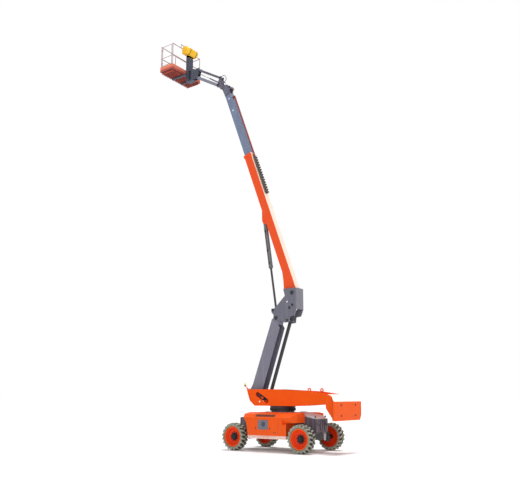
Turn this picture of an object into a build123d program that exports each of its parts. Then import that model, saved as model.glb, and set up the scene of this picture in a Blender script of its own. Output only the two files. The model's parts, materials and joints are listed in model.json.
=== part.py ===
"""Articulating boom lift: four wheels, a turning deck with counterweight, a parallelogram riser,
a knuckle, a telescopic boom, a jib and a work platform. Millimetres, +Z up, +X to the counterweight."""
import os
from math import atan2, cos, degrees, hypot, radians, sin

from build123d import *

# Main layout, with x measured from the turning axis
wheel_base = 2860.0
track = 2030.0
tyre_radius = 488.0
tyre_width = 350.0
rim_radius = 345.0
wheel_sides = 40
lug_count = 20
lug_depth = 40.0
lug_width = 58.0
lug_slant = 22.0
pin_play = 0.05
slide_play = 0.3

# Chassis
frame_half = 400.0
frame_low = 470.0
frame_high = 1350.0
frame_end = 1660.0
axle_clear = 620.0
nose_low = 700.0
nose_high = 1145.0
nose_slope = 100.0
knee = (1380.0, 1178.0)
cover_place = 800.0
belly_place = 1000.0
belly_slope = 150.0
pedestal_radius = 430.0
ring_radius = 470.0
ring_bore = 320.0
ring_low = 1400.0
king_inset = 215.0
king_pin_y = track / 2 - king_inset
king_pin_radius = 32.0
arm_reach = 230.0
tow_reach = 120.0
tie_place = (20.0, 250.0)
tie_height = 960.0
tie_bore = 16.0

# Side pods and their doors
pod_outer = 1100.0
pod_low = 450.0
pod_edge = 1187.0
pod_shoulder = (950.0, 1300.0)
pod_front = -1060.0
pod_rear = 860.0
pod_tail = 1200.0
flange_high = 520.0
louvre_start = -470.0
louvre_pitch = 62.0
louvre_count = 14
facet_start = 700.0
tail_low = 1010.0
door_front = -800.0
door_rear = 600.0
door_low = 540.0
door_high = 1130.0
door_thickness = 22.0
door_gap = 6.0
hinge_radius = 8.0

# Turning deck and counterweight
deck_low = 1575.0
deck_plate = 30.0
side_inner = 420.0
side_thickness = 30.0
deck_front = -1320.0
deck_rear = 2170.0
tail_place = 2080.0
tail_rise = 75.0
plate_high = 2170.0
plate_crest = -150.0
plate_knee = (1450.0, 2090.0)
plate_tail = 1990.0
weight_rear = 2730.0
weight_half = 980.0
weight_low = 1105.0
weight_high = 1745.0
hoop_place = 1425.0
hoop_rise = 45.0
eye_bore = 32.0
front_eye = (-746.0, 1727.0)

# Riser parallelogram, as points (x, z)
riser_foot = (-1100.0, 1980.0)
riser_top = (-120.0, 4800.0)
link_shift = (500.0, -120.0)
riser_half = 175.0
riser_wall = 12.0
riser_rear = 230.0
knuckle_half = 215.0
knuckle_plate = 30.0
knuckle_back = 800.0
riser_pin = 45.0
link_pin = 32.0
link_half = 50.0
link_depth = 90.0
lift_base = (250.0, 1690.0)
lift_lever = (225.0, 175.0)
lift_y = 300.0
lift_rod = 28.0

# Telescopic boom, measured along its axis from the foot pin
boom_foot = (605.0, 5705.0)
boom_elevation = 69.87
boom_depth = 340.0
boom_width = 300.0
boom_wall = 12.0
boom_tip = 6330.0
collar = 20.0
telescope_in = 2900.0
fly_depth = 285.0
fly_width = 240.0
fly_wall = 10.0
fly_tail = 4040.0
fly_tip = 9490.0
boom_pin = 45.0
cylinder_eye = (3290.0, 270.0)
cylinder_foot = (-265.0, 5110.0)
boom_lug = 90.0
carrier_height = 235.0
carrier_radius = 34.0
tray_length = 1810.0
tray_depth = 130.0
tray_links = 15

# Head, jib and platform carrier
jib_root = (779.0, 310.0)
jib_upper_root = (1054.0, 101.0)
jib_length = 1530.0
jib_elevation = 31.0
head_plate = (108.0, 135.0)
bracket_plate = (75.0, 98.0)
bar_plate = (44.0, 72.0)
jib_pin = 32.0
level_place = (290.0, -205.0)
level_shift = (220.0, 60.0)
jib_seat_shift = (45.0, 112.0)
jib_eye_shift = (45.0, 205.0)
turn_reach = 269.0
turn_radius = 120.0
drum_half = 220.0

# Platform
floor_lift = 107.0
floor_depth = 100.0
floor_gap = 400.0
floor_length = 750.0
floor_half = 950.0
rib_depth = 90.0
rib_pitch = 105.0
tread = 6.0
toe_rise = 150.0
rail_rise = 1150.0
mast_rise = 800.0
console_rise = 160.0
rail_radius = 20.0
post_radius = 17.0
rail_sides = 12
hoop_half = 380.0
hoop_lift = 170.0
gate_inset = 62.0
gate_radius = 16.0


def side(point, angle=0.0, y=0.0):
    """Plane in the side view at a point (x, z), with its own x turned up by an angle."""
    turn = radians(angle)
    origin = (slew_x + point[0], y, point[1])
    return Plane(origin=origin, x_dir=(cos(turn), 0, sin(turn)), z_dir=(0, -1, 0))


def plan(x, y, z):
    """Level plane at a place measured from the turning axis."""
    return Plane(origin=(slew_x + x, y, z))


def end(x, y, z):
    """Upright plane across the machine, with its own x along +Y."""
    return Plane(origin=(slew_x + x, y, z), x_dir=(0, 1, 0), z_dir=(1, 0, 0))


def outline(plane, *points):
    """Face of a closed outline on a plane."""
    with BuildSketch(plane) as face:
        with BuildLine():
            Polyline(*points, close=True)
        make_face()
    return face.sketch


def disc(plane, radius):
    """Round face on a plane."""
    with BuildSketch(plane) as face:
        Circle(radius)
    return face.sketch


def tube(plane, radius):
    """Face of a rail tube on a plane, drawn with a few flats."""
    with BuildSketch(plane) as face:
        RegularPolygon(radius, rail_sides)
    return face.sketch


def panel(plane, low, high):
    """Rectangular face between two corners on a plane."""
    return outline(plane, low, (high[0], low[1]), high, (low[0], high[1]))


def reach(point, angle, along, across=0.0):
    """Point found by going along an angle and then across it."""
    turn = radians(angle)
    x = point[0] + along * cos(turn) - across * sin(turn)
    z = point[1] + along * sin(turn) + across * cos(turn)
    return (x, z)


def span(start, finish):
    """Length and angle of the line between two points."""
    run, rise = finish[0] - start[0], finish[1] - start[1]
    return hypot(run, rise), degrees(atan2(rise, run))


def keep(build, name):
    """Label a finished piece and write it."""
    build.part.label = name
    export_step(build.part, f"parts/{name}.step")


os.makedirs("parts", exist_ok=True)
axle_z = tyre_radius
drive_x = -wheel_base / 2
steer_x = wheel_base / 2
hub_face = (track - tyre_width) / 2 + 60
riser_length, riser_angle = span(riser_foot, riser_top)
link_foot = (riser_foot[0] + link_shift[0], riser_foot[1] + link_shift[1])
link_top = (riser_top[0] + link_shift[0], riser_top[1] + link_shift[1])
boom_angle = 180.0 - boom_elevation
jib_angle = 180.0 - jib_elevation
root = reach(boom_foot, boom_angle, fly_tip + jib_root[0], jib_root[1])
upper_root = reach(boom_foot, boom_angle, fly_tip + jib_upper_root[0], jib_upper_root[1])
tip = reach(root, jib_angle, jib_length)
upper_tip = reach(upper_root, jib_angle, jib_length)
jib_mid = (tip[1] + upper_tip[1]) / 2
turn_x = tip[0] - turn_reach
floor_low = jib_mid + floor_lift
floor_high = floor_low + floor_depth
floor_rear = turn_x - floor_gap
floor_front = floor_rear - floor_length
toe_high = floor_high + toe_rise
rail_high = floor_high + rail_rise
rail_mid = floor_high + rail_rise / 2
mast_high = floor_low + mast_rise
slew_x = -(weight_rear + floor_front) / 2
boom_plane = side(boom_foot, boom_angle)
lift_eye = (riser_foot[0] - lift_lever[0], riser_foot[1] + lift_lever[1])
boom_eye = reach(boom_foot, boom_angle, *cylinder_eye)

# Chassis frame with its sloped end covers and the pedestal of the turning ring
with BuildPart() as chassis_frame:
    hull = [
        (-frame_end, nose_high), (-frame_end, nose_low), (-frame_end + nose_slope, axle_clear),
        (-belly_place - belly_slope, axle_clear), (-belly_place, frame_low), (belly_place, frame_low),
        (belly_place + belly_slope, axle_clear), (frame_end - nose_slope, axle_clear),
        (frame_end, nose_low), (frame_end, nose_high), knee, (cover_place, frame_high),
        (-cover_place, frame_high), (-knee[0], knee[1]),
    ]
    extrude(outline(side((0, 0)), *hull), amount=frame_half, both=True)
    extrude(disc(plan(0, 0, frame_high), pedestal_radius), amount=ring_low - frame_high)
    for hand in (-1, 1):
        for pocket_y in (-145, 0, 145):
            pocket = panel(end(hand * frame_end, pocket_y, 0), (-60, nose_low + 40), (60, nose_high - 45))
            extrude(pocket, amount=-hand * 25, mode=Mode.SUBTRACT)
        tongue = panel(
            plan(0, 0, nose_low - 60), (hand * (frame_end - 75), -55), (hand * (frame_end + tow_reach), 55)
        )
        extrude(tongue, amount=30)
    for tie_x in (-frame_end - tie_place[0], frame_end + tie_place[0]):
        for tie_y in (-tie_place[1], tie_place[1]):
            lug = side((tie_x, tie_height), 0, tie_y)
            extrude(disc(lug, 55), amount=12, both=True)
            extrude(disc(lug, tie_bore), amount=12, both=True, mode=Mode.SUBTRACT)
keep(chassis_frame, "chassis_frame")

# Turning ring on the pedestal
with BuildPart() as slew_ring:
    ring_depth = deck_low - slide_play - ring_low
    extrude(disc(plan(0, 0, ring_low), ring_radius), amount=ring_depth)
    extrude(disc(plan(0, 0, ring_low), ring_bore), amount=ring_depth, mode=Mode.SUBTRACT)
keep(slew_ring, "slew_ring")

# Rigid drive axle at the platform end
with BuildPart() as drive_axle:
    extrude(disc(side((drive_x, axle_z)), 90), amount=hub_face - slide_play, both=True)
    extrude(disc(side((drive_x, axle_z)), 128), amount=150, both=True)
    for seat_y in (-300, 300):
        seat = panel(side((drive_x, axle_z), 0, seat_y), (-110, 0), (110, axle_clear - axle_z))
        extrude(seat, amount=60, both=True)
keep(drive_axle, "drive_axle")

# Steered axle beam with a yoke at each end
with BuildPart() as steer_axle:
    extrude(
        panel(side((steer_x, axle_z)), (-80, -70), (80, axle_clear - axle_z)), amount=king_pin_y - 200,
        both=True
    )
    for hand in (-1, 1):
        for low, high in ((-150, -100), (100, 150)):
            ear = panel(
                plan(steer_x, 0, axle_z + low), (-60, hand * (king_pin_y - 240)),
                (60, hand * (king_pin_y + 60))
            )
            extrude(ear, amount=high - low)
        web = panel(
            plan(steer_x, 0, axle_z - 150), (-45, hand * (king_pin_y - 240)), (45, hand * (king_pin_y - 160))
        )
        extrude(web, amount=300)
        bore = disc(plan(steer_x, hand * king_pin_y, axle_z - 150), king_pin_radius + pin_play)
        extrude(bore, amount=300, mode=Mode.SUBTRACT)
keep(steer_axle, "steer_axle")

# Steering knuckles with king pin, stub axle and steering arm, and the tie rod between the arms
for hand, name in ((1, "left"), (-1, "right")):
    with BuildPart() as steer_knuckle:
        extrude(disc(plan(steer_x, hand * king_pin_y, axle_z - 165), king_pin_radius), amount=330)
        extrude(disc(plan(steer_x, hand * king_pin_y, axle_z - 95), 62), amount=190)
        stub = disc(side((steer_x, axle_z), 0, hand * king_pin_y), 55)
        extrude(stub, amount=-hand * (hub_face - slide_play - king_pin_y))
        arm_low = axle_z - 40
        arm = [
            (0, hand * (king_pin_y - 50)), (0, hand * (king_pin_y + 50)),
            (-arm_reach - 40, hand * (king_pin_y + 32)), (-arm_reach - 40, hand * (king_pin_y - 40)),
        ]
        extrude(outline(plan(steer_x, 0, arm_low), *arm), amount=30)
        extrude(disc(plan(steer_x - arm_reach, hand * king_pin_y, arm_low - 50), 16), amount=50)
    keep(steer_knuckle, f"steer_knuckle_{name}")

with BuildPart() as tie_rod:
    rod_z = axle_z - 40 - 26
    rod_run = disc(side((steer_x - arm_reach, rod_z)), 20)
    extrude(rod_run, amount=king_pin_y, both=True)
    for hand in (-1, 1):
        eye = plan(steer_x - arm_reach, hand * king_pin_y, rod_z - 22)
        extrude(disc(eye, 30), amount=44)
        extrude(disc(eye, 16 + slide_play), amount=44, mode=Mode.SUBTRACT)
keep(tie_rod, "tie_rod")

# Wheels: a tyre with slanted lugs, a dished rim and a hub, drawn once round the Y axis and set at four places
half = tyre_width / 2
wheel_plane = Plane(origin=(0, 0, 0), x_dir=(1, 0, 0), z_dir=(0, 1, 0))


def flats(offset, radius):
    """Many-sided face round the wheel's axis, at a distance outward from the wheel's middle."""
    with BuildSketch(wheel_plane.offset(offset)) as face:
        RegularPolygon(radius, wheel_sides)
    return face.sketch


with BuildPart() as tyre_form:
    casing = tyre_radius - lug_depth
    extrude(flats(0, casing), amount=half - 45, both=True)
    for hand in (-1, 1):
        extrude(flats(hand * (half - 45), casing), amount=hand * 45, taper=40)
    lug_reach = lug_width / 2 + lug_slant
    lug_top = (tyre_radius ** 2 - lug_reach ** 2) ** 0.5
    lug_base = casing - 45
    lug_first = -90 - degrees(atan2(lug_reach, lug_top))
    lugs = []
    for row in (-1, 1):
        for count in range(lug_count):
            turn = radians(lug_first + (count + (row > 0) / 2) * 360 / lug_count)
            radial = Vector(cos(turn), 0, sin(turn))
            tangent = Plane(origin=radial * lug_base, x_dir=(0, row, 0), z_dir=radial)
            block = [
                (12, -lug_width / 2 - lug_slant), (half, -lug_width / 2 + lug_slant),
                (half, lug_width / 2 + lug_slant), (12, lug_width / 2 - lug_slant),
            ]
            lugs.append(extrude(outline(tangent, *block), amount=lug_top - lug_base, mode=Mode.PRIVATE))
    add(lugs)
    extrude(flats(0, rim_radius), amount=tyre_width, both=True, mode=Mode.SUBTRACT)

with BuildPart() as dish:
    seat = half - 35
    extrude(flats(0, rim_radius), amount=seat, both=True)
    for start, finish, radius in (
        (75, seat, rim_radius - 24), (30, 75, rim_radius - 75), (-seat, 5, rim_radius - 30), (-seat, seat, 90)
    ):
        extrude(flats(start, radius), amount=finish - start, mode=Mode.SUBTRACT)

with BuildPart() as nave:
    for start, finish, radius in ((60 - half, 30, 85), (30, 58, 132), (58, 118, 98)):
        extrude(disc(wheel_plane.offset(start), radius), amount=finish - start)

wheels = [
    ("drive_left", drive_x, 1), ("drive_right", drive_x, -1),
    ("steer_left", steer_x, 1), ("steer_right", steer_x, -1),
]
for name, wheel_x, hand in wheels:
    place = Location((slew_x + wheel_x, hand * track / 2, axle_z), (0, 0, 90 - 90 * hand))
    for node, shape in (("tyre", tyre_form), ("rim", dish), ("hub", nave)):
        with BuildPart() as wheel_piece:
            with Locations(place):
                add(shape.part)
        keep(wheel_piece, f"{node}_{name}")

# Side pods, each an open box behind a door that lifts
for hand, name in ((1, "left"), (-1, "right")):
    with BuildPart() as pod:
        section = [
            (hand * frame_half, pod_low), (hand * (pod_outer - 60), pod_low),
            (hand * pod_outer, pod_low + 60),
            (hand * pod_outer, pod_edge), (hand * pod_shoulder[0], pod_shoulder[1]),
            (hand * (frame_half + 200), frame_high), (hand * frame_half, frame_high),
        ]
        extrude(outline(end(pod_front, 0, 0), *section), amount=pod_tail - pod_front)
        flank = [
            (pod_front, frame_high), (pod_front + 60, pod_edge + 40), (pod_front + 197, pod_edge - 196),
            (pod_front + 290, pod_low), (pod_tail, pod_low), (pod_tail, frame_high),
        ]
        extrude(outline(side((0, 0)), *flank), amount=pod_outer, both=True, mode=Mode.INTERSECT)
        arch = [
            (pod_rear, hand * pod_outer), (pod_rear - 75, hand * (pod_outer - 230)),
            (pod_rear - 75, hand * frame_half),
            (pod_tail, hand * frame_half), (pod_tail, hand * pod_outer),
        ]
        extrude(outline(plan(0, 0, pod_low), *arch), amount=tail_low - pod_low, mode=Mode.SUBTRACT)
        corner = [
            (pod_tail, hand * pod_outer), (pod_tail - 200, hand * pod_outer),
            (pod_tail, hand * (pod_outer - 200)),
        ]
        extrude(outline(plan(0, 0, tail_low), *corner), amount=frame_high - tail_low, mode=Mode.SUBTRACT)
        facet = [
            (hand * pod_outer, pod_edge - 10), (hand * pod_outer, tail_low - 60),
            (hand * (pod_outer - 120), tail_low - 60),
        ]
        extrude(outline(end(facet_start, 0, 0), *facet), amount=pod_tail - facet_start, mode=Mode.SUBTRACT)
        flange = panel(
            side((0, 0), 0, hand * (pod_outer - 60)), (pod_front + 290, pod_low + 5), (door_rear, flange_high)
        )
        extrude(flange, amount=-hand * 72)
        slope = Vector(0, hand * (pod_shoulder[1] - pod_edge), pod_outer - pod_shoulder[0]).normalized()
        for count in range(louvre_count):
            louvre = Plane(
                origin=(
                    slew_x + louvre_start + count * louvre_pitch, hand * (pod_outer + pod_shoulder[0]) / 2,
                    (pod_edge + pod_shoulder[1]) / 2,
                ),
                x_dir=(1, 0, 0), z_dir=slope,
            )
            extrude(panel(louvre, (-17, -62), (17, 62)), amount=-25, mode=Mode.SUBTRACT)
        opening = side((0, 0), 0, hand * pod_outer)
        doorway = panel(
            opening, (door_front - door_gap, door_low - door_gap),
            (door_rear + door_gap, door_high + hinge_radius + slide_play)
        )
        extrude(doorway, amount=hand * (door_thickness + slide_play), mode=Mode.SUBTRACT)
        hollow = panel(opening, (door_front + 30, door_low + 30), (door_rear - 30, door_high - 30))
        extrude(hollow, amount=hand * (pod_outer - frame_half - 60), mode=Mode.SUBTRACT)
    keep(pod, f"pod_{name}")
    with BuildPart() as pod_door:
        skin = panel(side((0, 0), 0, hand * pod_outer), (door_front, door_low), (door_rear, door_high))
        extrude(skin, amount=hand * door_thickness)
        for latch_x in (-455, 145):
            latch = panel(side((latch_x, 815), 0, hand * pod_outer), (0, -50), (30, 50))
            extrude(latch, amount=hand * 12, mode=Mode.SUBTRACT)
        pivots = disc(end(door_front, hand * (pod_outer - hinge_radius), door_high), hinge_radius)
        extrude(pivots, amount=door_rear - door_front)
    keep(pod_door, f"pod_door_{name}")

# Engine and pump as one plain block in the left pod
with BuildPart() as power_pack:
    extrude(panel(plan(0, 0, door_low + 30), (-600, 500), (400, 960)), amount=460)
keep(power_pack, "power_pack")

# Ground controls on the right door
with BuildPart() as ground_panel:
    extrude(panel(side((0, 0), 0, -pod_outer), (-340, 768), (95, 1097)), amount=14)
    extrude(panel(side((0, 0), 0, -pod_outer - 14), (-310, 798), (65, 1067)), amount=-8, mode=Mode.SUBTRACT)
keep(ground_panel, "ground_panel")

# Turning deck: ring, floor and rear bulkhead between the side plates, and the pivot pins across them
with BuildPart() as turntable_deck:
    floor = [
        (-940, deck_low), (900, deck_low), (tail_place, deck_low + tail_rise), (tail_place, plate_tail - 50),
        (tail_place - deck_plate, plate_tail - 50),
        (tail_place - deck_plate, deck_low + tail_rise + deck_plate),
        (900, deck_low + deck_plate), (-940, deck_low + deck_plate),
    ]
    extrude(outline(side((0, 0)), *floor), amount=side_inner, both=True)
    for lug_y in (-1, 1):
        lug = [
            (link_foot[0] - 110, deck_low + deck_plate), (link_foot[0] + 110, deck_low + deck_plate),
            (link_foot[0] + 45, link_foot[1] + 40), (link_foot[0] - 45, link_foot[1] + 40),
        ]
        extrude(outline(side((0, 0), 0, lug_y * (link_half + 10)), *lug), amount=-lug_y * 30)
        hole = disc(side(link_foot, 0, lug_y * (link_half + 10)), link_pin)
        extrude(hole, amount=-lug_y * 30, mode=Mode.SUBTRACT)
keep(turntable_deck, "turntable_deck")

with BuildPart() as deck_pins:
    for point, radius, reach_y in (
        (riser_foot, riser_pin, side_inner), (link_foot, link_pin, link_half + 40),
        (lift_base, link_pin, side_inner)
    ):
        extrude(disc(side(point), radius), amount=reach_y, both=True)
keep(deck_pins, "deck_pins")

for hand, name in ((1, "left"), (-1, "right")):
    with BuildPart() as turntable_side:
        cheek = [
            (deck_front, plate_high), (deck_front + 20, plate_high - 90),
            (deck_front + 140, plate_high - 420),
            (deck_front + 360, deck_low), (900, deck_low), (tail_place, deck_low + tail_rise),
            (deck_rear, plate_tail), plate_knee, (plate_crest, plate_high),
        ]
        extrude(outline(side((0, 0), 0, hand * side_inner), *cheek), amount=-hand * side_thickness)
        with BuildSketch(side((-620, 1870), 0, hand * side_inner)):
            SlotOverall(640, 170, rotation=-30)
        extrude(amount=-hand * side_thickness, mode=Mode.SUBTRACT)
        middle = hand * (side_inner + side_thickness / 2)
        slope = (plate_high - plate_knee[1]) / (plate_knee[0] - plate_crest)
        hoop = side((hoop_place, plate_high - slope * (hoop_place - plate_crest) + hoop_rise), 0, middle)
        extrude(disc(hoop, 70), amount=9, both=True)
        extrude(disc(hoop, eye_bore), amount=9, both=True, mode=Mode.SUBTRACT)
        extrude(
            disc(side(front_eye, 0, middle), eye_bore), amount=side_thickness, both=True, mode=Mode.SUBTRACT
        )
    keep(turntable_side, f"turntable_side_{name}")

with BuildPart() as counterweight:
    block = [
        (tail_place, deck_low + tail_rise), (tail_place + 10, deck_low - 65), (tail_place + 300, weight_low),
        (weight_rear, weight_low), (weight_rear, weight_high), (deck_rear, plate_tail),
    ]
    extrude(outline(side((0, 0)), *block), amount=weight_half, both=True)
    throat = side_inner + side_thickness
    flare = [
        (tail_place, -throat), (tail_place + 250, -throat), (weight_rear - 40, -weight_half),
        (weight_rear, -weight_half + 30), (weight_rear, weight_half - 30), (weight_rear - 40, weight_half),
        (tail_place + 250, throat), (tail_place, throat),
    ]
    extrude(outline(plan(0, 0, weight_low), *flare), amount=plate_tail - weight_low, mode=Mode.INTERSECT)
    rear = [
        (-weight_half, plate_tail), (-weight_half, weight_high), (-weight_half + 50, weight_low + 160),
        (-weight_half + 150, weight_low), (weight_half - 150, weight_low),
        (weight_half - 50, weight_low + 160),
        (weight_half, weight_high), (weight_half, plate_tail),
    ]
    extrude(outline(end(tail_place, 0, 0), *rear), amount=weight_rear - tail_place, mode=Mode.INTERSECT)
    trough = [
        (tail_place - 80, deck_low - 75), (tail_place, deck_low + tail_rise), (deck_rear, plate_tail),
        (tail_place - 80, plate_tail + 10),
    ]
    extrude(outline(side((0, 0)), *trough), amount=throat, both=True, mode=Mode.SUBTRACT)
keep(counterweight, "counterweight")

# Beacon on a hoop at the deck's front corner
with BuildPart() as beacon_bracket:
    foot = side((deck_front + 40, plate_high), 0, -side_inner - side_thickness / 2)
    extrude(
        outline(foot, (-40, 0), (40, 0), (-30, 60), (-140, 130), (-140, 110), (-60, 50)), amount=10,
        both=True
    )
    extrude(disc(plan(deck_front - 95, -side_inner - side_thickness / 2, plate_high + 120), 50), amount=12)
keep(beacon_bracket, "beacon_bracket")

with BuildPart() as beacon:
    extrude(disc(plan(deck_front - 95, -side_inner - side_thickness / 2, plate_high + 132), 45), amount=110)
keep(beacon, "beacon")

# Riser: a channel that is open towards the link, with closed foot and head
with BuildPart() as riser_arm:
    riser_plane = side(riser_foot, riser_angle)
    trunk = [
        (-70, -90), (60, -120), (170, -120), (230, -riser_rear), (riser_length - 300, -riser_rear),
        (riser_length - 210, -115), (riser_length + 20, -95), (riser_length + 90, 0),
        (riser_length + 40, 110),
        (riser_length - 100, 215), (300, 260), (130, 300), (0, 300), (-90, 60),
    ]
    extrude(outline(riser_plane, *trunk), amount=riser_half, both=True)
    core = [
        (180, -riser_rear), (riser_length - 220, -riser_rear), (riser_length - 220, 215 - riser_wall),
        (300, 260 - riser_wall), (180, 200),
    ]
    extrude(outline(riser_plane, *core), amount=riser_half - riser_wall, both=True, mode=Mode.SUBTRACT)
    lever = disc(side(lift_eye), 30)
    extrude(lever, amount=lift_y - 45, both=True)
    extrude(disc(riser_plane, riser_pin + pin_play), amount=riser_half, both=True, mode=Mode.SUBTRACT)
    head_eye = disc(side(riser_top), riser_pin + pin_play)
    extrude(head_eye, amount=riser_half, both=True, mode=Mode.SUBTRACT)
keep(riser_arm, "riser_arm")

# Tension link of the parallelogram
with BuildPart() as tension_link:
    link_plane = side(link_foot, riser_angle)
    extrude(
        panel(link_plane, (0, -link_depth / 2), (riser_length, link_depth / 2)), amount=link_half, both=True
    )
    for link_eye in (link_foot, link_top):
        extrude(disc(side(link_eye), link_pin + 33), amount=link_half, both=True)
        extrude(disc(side(link_eye), link_pin + pin_play), amount=link_half, both=True, mode=Mode.SUBTRACT)
keep(tension_link, "tension_link")

# Twin lift cylinders of the riser, with eyes beside the ends of its lever
lift_length, lift_angle = span(lift_base, lift_eye)
with BuildPart() as riser_barrels:
    for lift_side in (-lift_y, lift_y):
        seat = side(lift_base, lift_angle, lift_side)
        extrude(disc(seat, 58), amount=34, both=True)
        body = Plane(origin=seat.origin, x_dir=(0, 1, 0), z_dir=seat.x_dir)
        extrude(disc(body.offset(40), 62), amount=1000)
        extrude(disc(body.offset(140), lift_rod), amount=900, mode=Mode.SUBTRACT)
        extrude(disc(seat, link_pin + pin_play), amount=34, both=True, mode=Mode.SUBTRACT)
keep(riser_barrels, "riser_barrels")

with BuildPart() as riser_rods:
    for lift_side in (-lift_y, lift_y):
        seat = side(lift_base, lift_angle, lift_side)
        body = Plane(origin=seat.origin, x_dir=(0, 1, 0), z_dir=seat.x_dir)
        extrude(disc(body.offset(700), lift_rod - pin_play), amount=lift_length - 700)
        extrude(disc(side(lift_eye, 0, lift_side), 52), amount=38, both=True)
keep(riser_rods, "riser_rods")

# Knuckle between riser and boom: two cheeks, a back plate and the pins
with BuildPart() as knuckle:
    crown = boom_foot[1] + 175
    ear_x, ear_z = cylinder_foot
    cheek = [
        (ear_x - 65, ear_z - 70), (ear_x - 60, ear_z + 20), (ear_x + 75, ear_z + 65), (0, ear_z + 230),
        (285, boom_foot[1] - 90), (215, crown), (knuckle_back, crown), (knuckle_back, ear_z - 20),
        (knuckle_back - 100, riser_top[1] + 45), (link_top[0] + 110, riser_top[1] + 20),
        (link_top[0] + 85, link_top[1] - 60), (link_top[0] - 80, link_top[1] - 80), (60, riser_top[1] - 110),
        (riser_top[0] - 120, riser_top[1] - 50), (riser_top[0] - 115, riser_top[1] + 130),
        (ear_x - 25, ear_z - 120),
    ]
    holes = [(376, ear_z + 273, 34), (485, ear_z + 42, 62), (614, ear_z + 139, 58)]
    for hand in (-1, 1):
        plane = side((0, 0), 0, hand * knuckle_half)
        extrude(outline(plane, *cheek), amount=-hand * knuckle_plate)
        for hole_x, hole_z, hole_radius in holes:
            hole = disc(side((hole_x, hole_z), 0, hand * knuckle_half), hole_radius)
            extrude(hole, amount=-hand * knuckle_plate, mode=Mode.SUBTRACT)
    extrude(
        panel(side((0, 0)), (knuckle_back - knuckle_plate, ear_z - 20), (knuckle_back, crown)),
        amount=knuckle_half, both=True
    )
    for point, radius in ((riser_top, riser_pin), (link_top, link_pin), (boom_foot, boom_pin)):
        extrude(disc(side(point), radius), amount=knuckle_half, both=True)
keep(knuckle, "knuckle")

# Base boom: an open tube with a foot, a cylinder bracket and a guide collar at the mouth
boom_across = Plane(origin=boom_plane.origin, x_dir=(0, 1, 0), z_dir=boom_plane.x_dir)
with BuildPart() as base_boom:
    trunk = [
        (-90, -60), (60, -boom_depth / 2), (boom_tip, -boom_depth / 2), (boom_tip, boom_depth / 2),
        (960, boom_depth / 2), (620, boom_depth / 2 + 70), (340, boom_depth / 2 + 155),
        (190, boom_depth / 2 + 155), (60, boom_depth / 2 + 30), (-60, 80),
    ]
    extrude(outline(boom_plane, *trunk), amount=boom_width / 2, both=True)
    inner = (boom_depth / 2 - boom_wall, boom_width / 2 - boom_wall)
    core = panel(boom_plane, (450, -inner[0]), (boom_tip - 90, inner[0]))
    extrude(core, amount=inner[1], both=True, mode=Mode.SUBTRACT)
    with BuildSketch(boom_across.offset(boom_tip - 90)):
        Rectangle(boom_width + 2 * collar, boom_depth + 2 * collar)
        Rectangle(fly_width + 2 * slide_play, fly_depth + 2 * slide_play, mode=Mode.SUBTRACT)
    extrude(amount=110)
    mouth = panel(
        boom_plane, (boom_tip - 95, -fly_depth / 2 - slide_play), (boom_tip, fly_depth / 2 + slide_play)
    )
    extrude(mouth, amount=fly_width / 2 + slide_play, both=True, mode=Mode.SUBTRACT)
    along, drop = cylinder_eye
    lug = [
        (along - 200, boom_depth / 2), (along - 70, drop + 55), (along + 60, drop + 55),
        (along + 500, boom_depth / 2),
    ]
    for hand in (-1, 1):
        lug_plane = Plane(
            origin=boom_plane.origin + Vector(0, hand * boom_lug, 0), x_dir=boom_plane.x_dir,
            z_dir=boom_plane.z_dir
        )
        extrude(outline(lug_plane, *lug), amount=-hand * 25)
    extrude(disc(side(boom_eye), 35), amount=boom_lug, both=True)
    extrude(disc(boom_plane, boom_pin + pin_play), amount=boom_width / 2, both=True, mode=Mode.SUBTRACT)
keep(base_boom, "base_boom")

# Hose carrier: a tray on the boom and a tube that travels with the fly
tray_start = boom_tip - 150 - tray_length
tray_face = -boom_depth / 2 - tray_depth
link_pitch = tray_length / tray_links
with BuildPart() as carrier_tray:
    with BuildSketch(boom_across.offset(tray_start)):
        with Locations((0, -boom_depth / 2 - tray_depth / 2)):
            Rectangle(120, tray_depth)
        with Locations((0, -boom_depth / 2 - tray_depth / 2 - 10)):
            Rectangle(104, tray_depth - 4, mode=Mode.SUBTRACT)
    extrude(amount=tray_length)
    for count in range(tray_links):
        notch = panel(
            boom_plane,
            (tray_start + (count + 0.5) * link_pitch, tray_face),
            (tray_start + (count + 0.9) * link_pitch, tray_face + 42),
        )
        extrude(notch, amount=60, both=True, mode=Mode.SUBTRACT)
keep(carrier_tray, "carrier_tray")

# Boom lift cylinder: barrel on the boom, rod down to the knuckle's ears
boom_lift, boom_lift_angle = span(boom_eye, cylinder_foot)
with BuildPart() as boom_barrel:
    seat = side(boom_eye, boom_lift_angle)
    extrude(disc(seat, 78), amount=70, both=True)
    body = Plane(origin=seat.origin, x_dir=(0, 1, 0), z_dir=seat.x_dir)
    extrude(disc(body.offset(50), 82), amount=1880)
    extrude(disc(body.offset(200), 42), amount=1800, mode=Mode.SUBTRACT)
    extrude(disc(seat, 35 + pin_play), amount=70, both=True, mode=Mode.SUBTRACT)
keep(boom_barrel, "boom_barrel")

with BuildPart() as boom_rod:
    body = Plane(origin=side(boom_eye).origin, x_dir=(0, 1, 0), z_dir=side(boom_eye, boom_lift_angle).x_dir)
    extrude(disc(body.offset(1450), 42 - pin_play), amount=boom_lift - 1500)
    extrude(disc(side(cylinder_foot), 62), amount=70, both=True)
    extrude(disc(side(cylinder_foot), 38), amount=knuckle_half - 10, both=True)
keep(boom_rod, "boom_rod")

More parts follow.
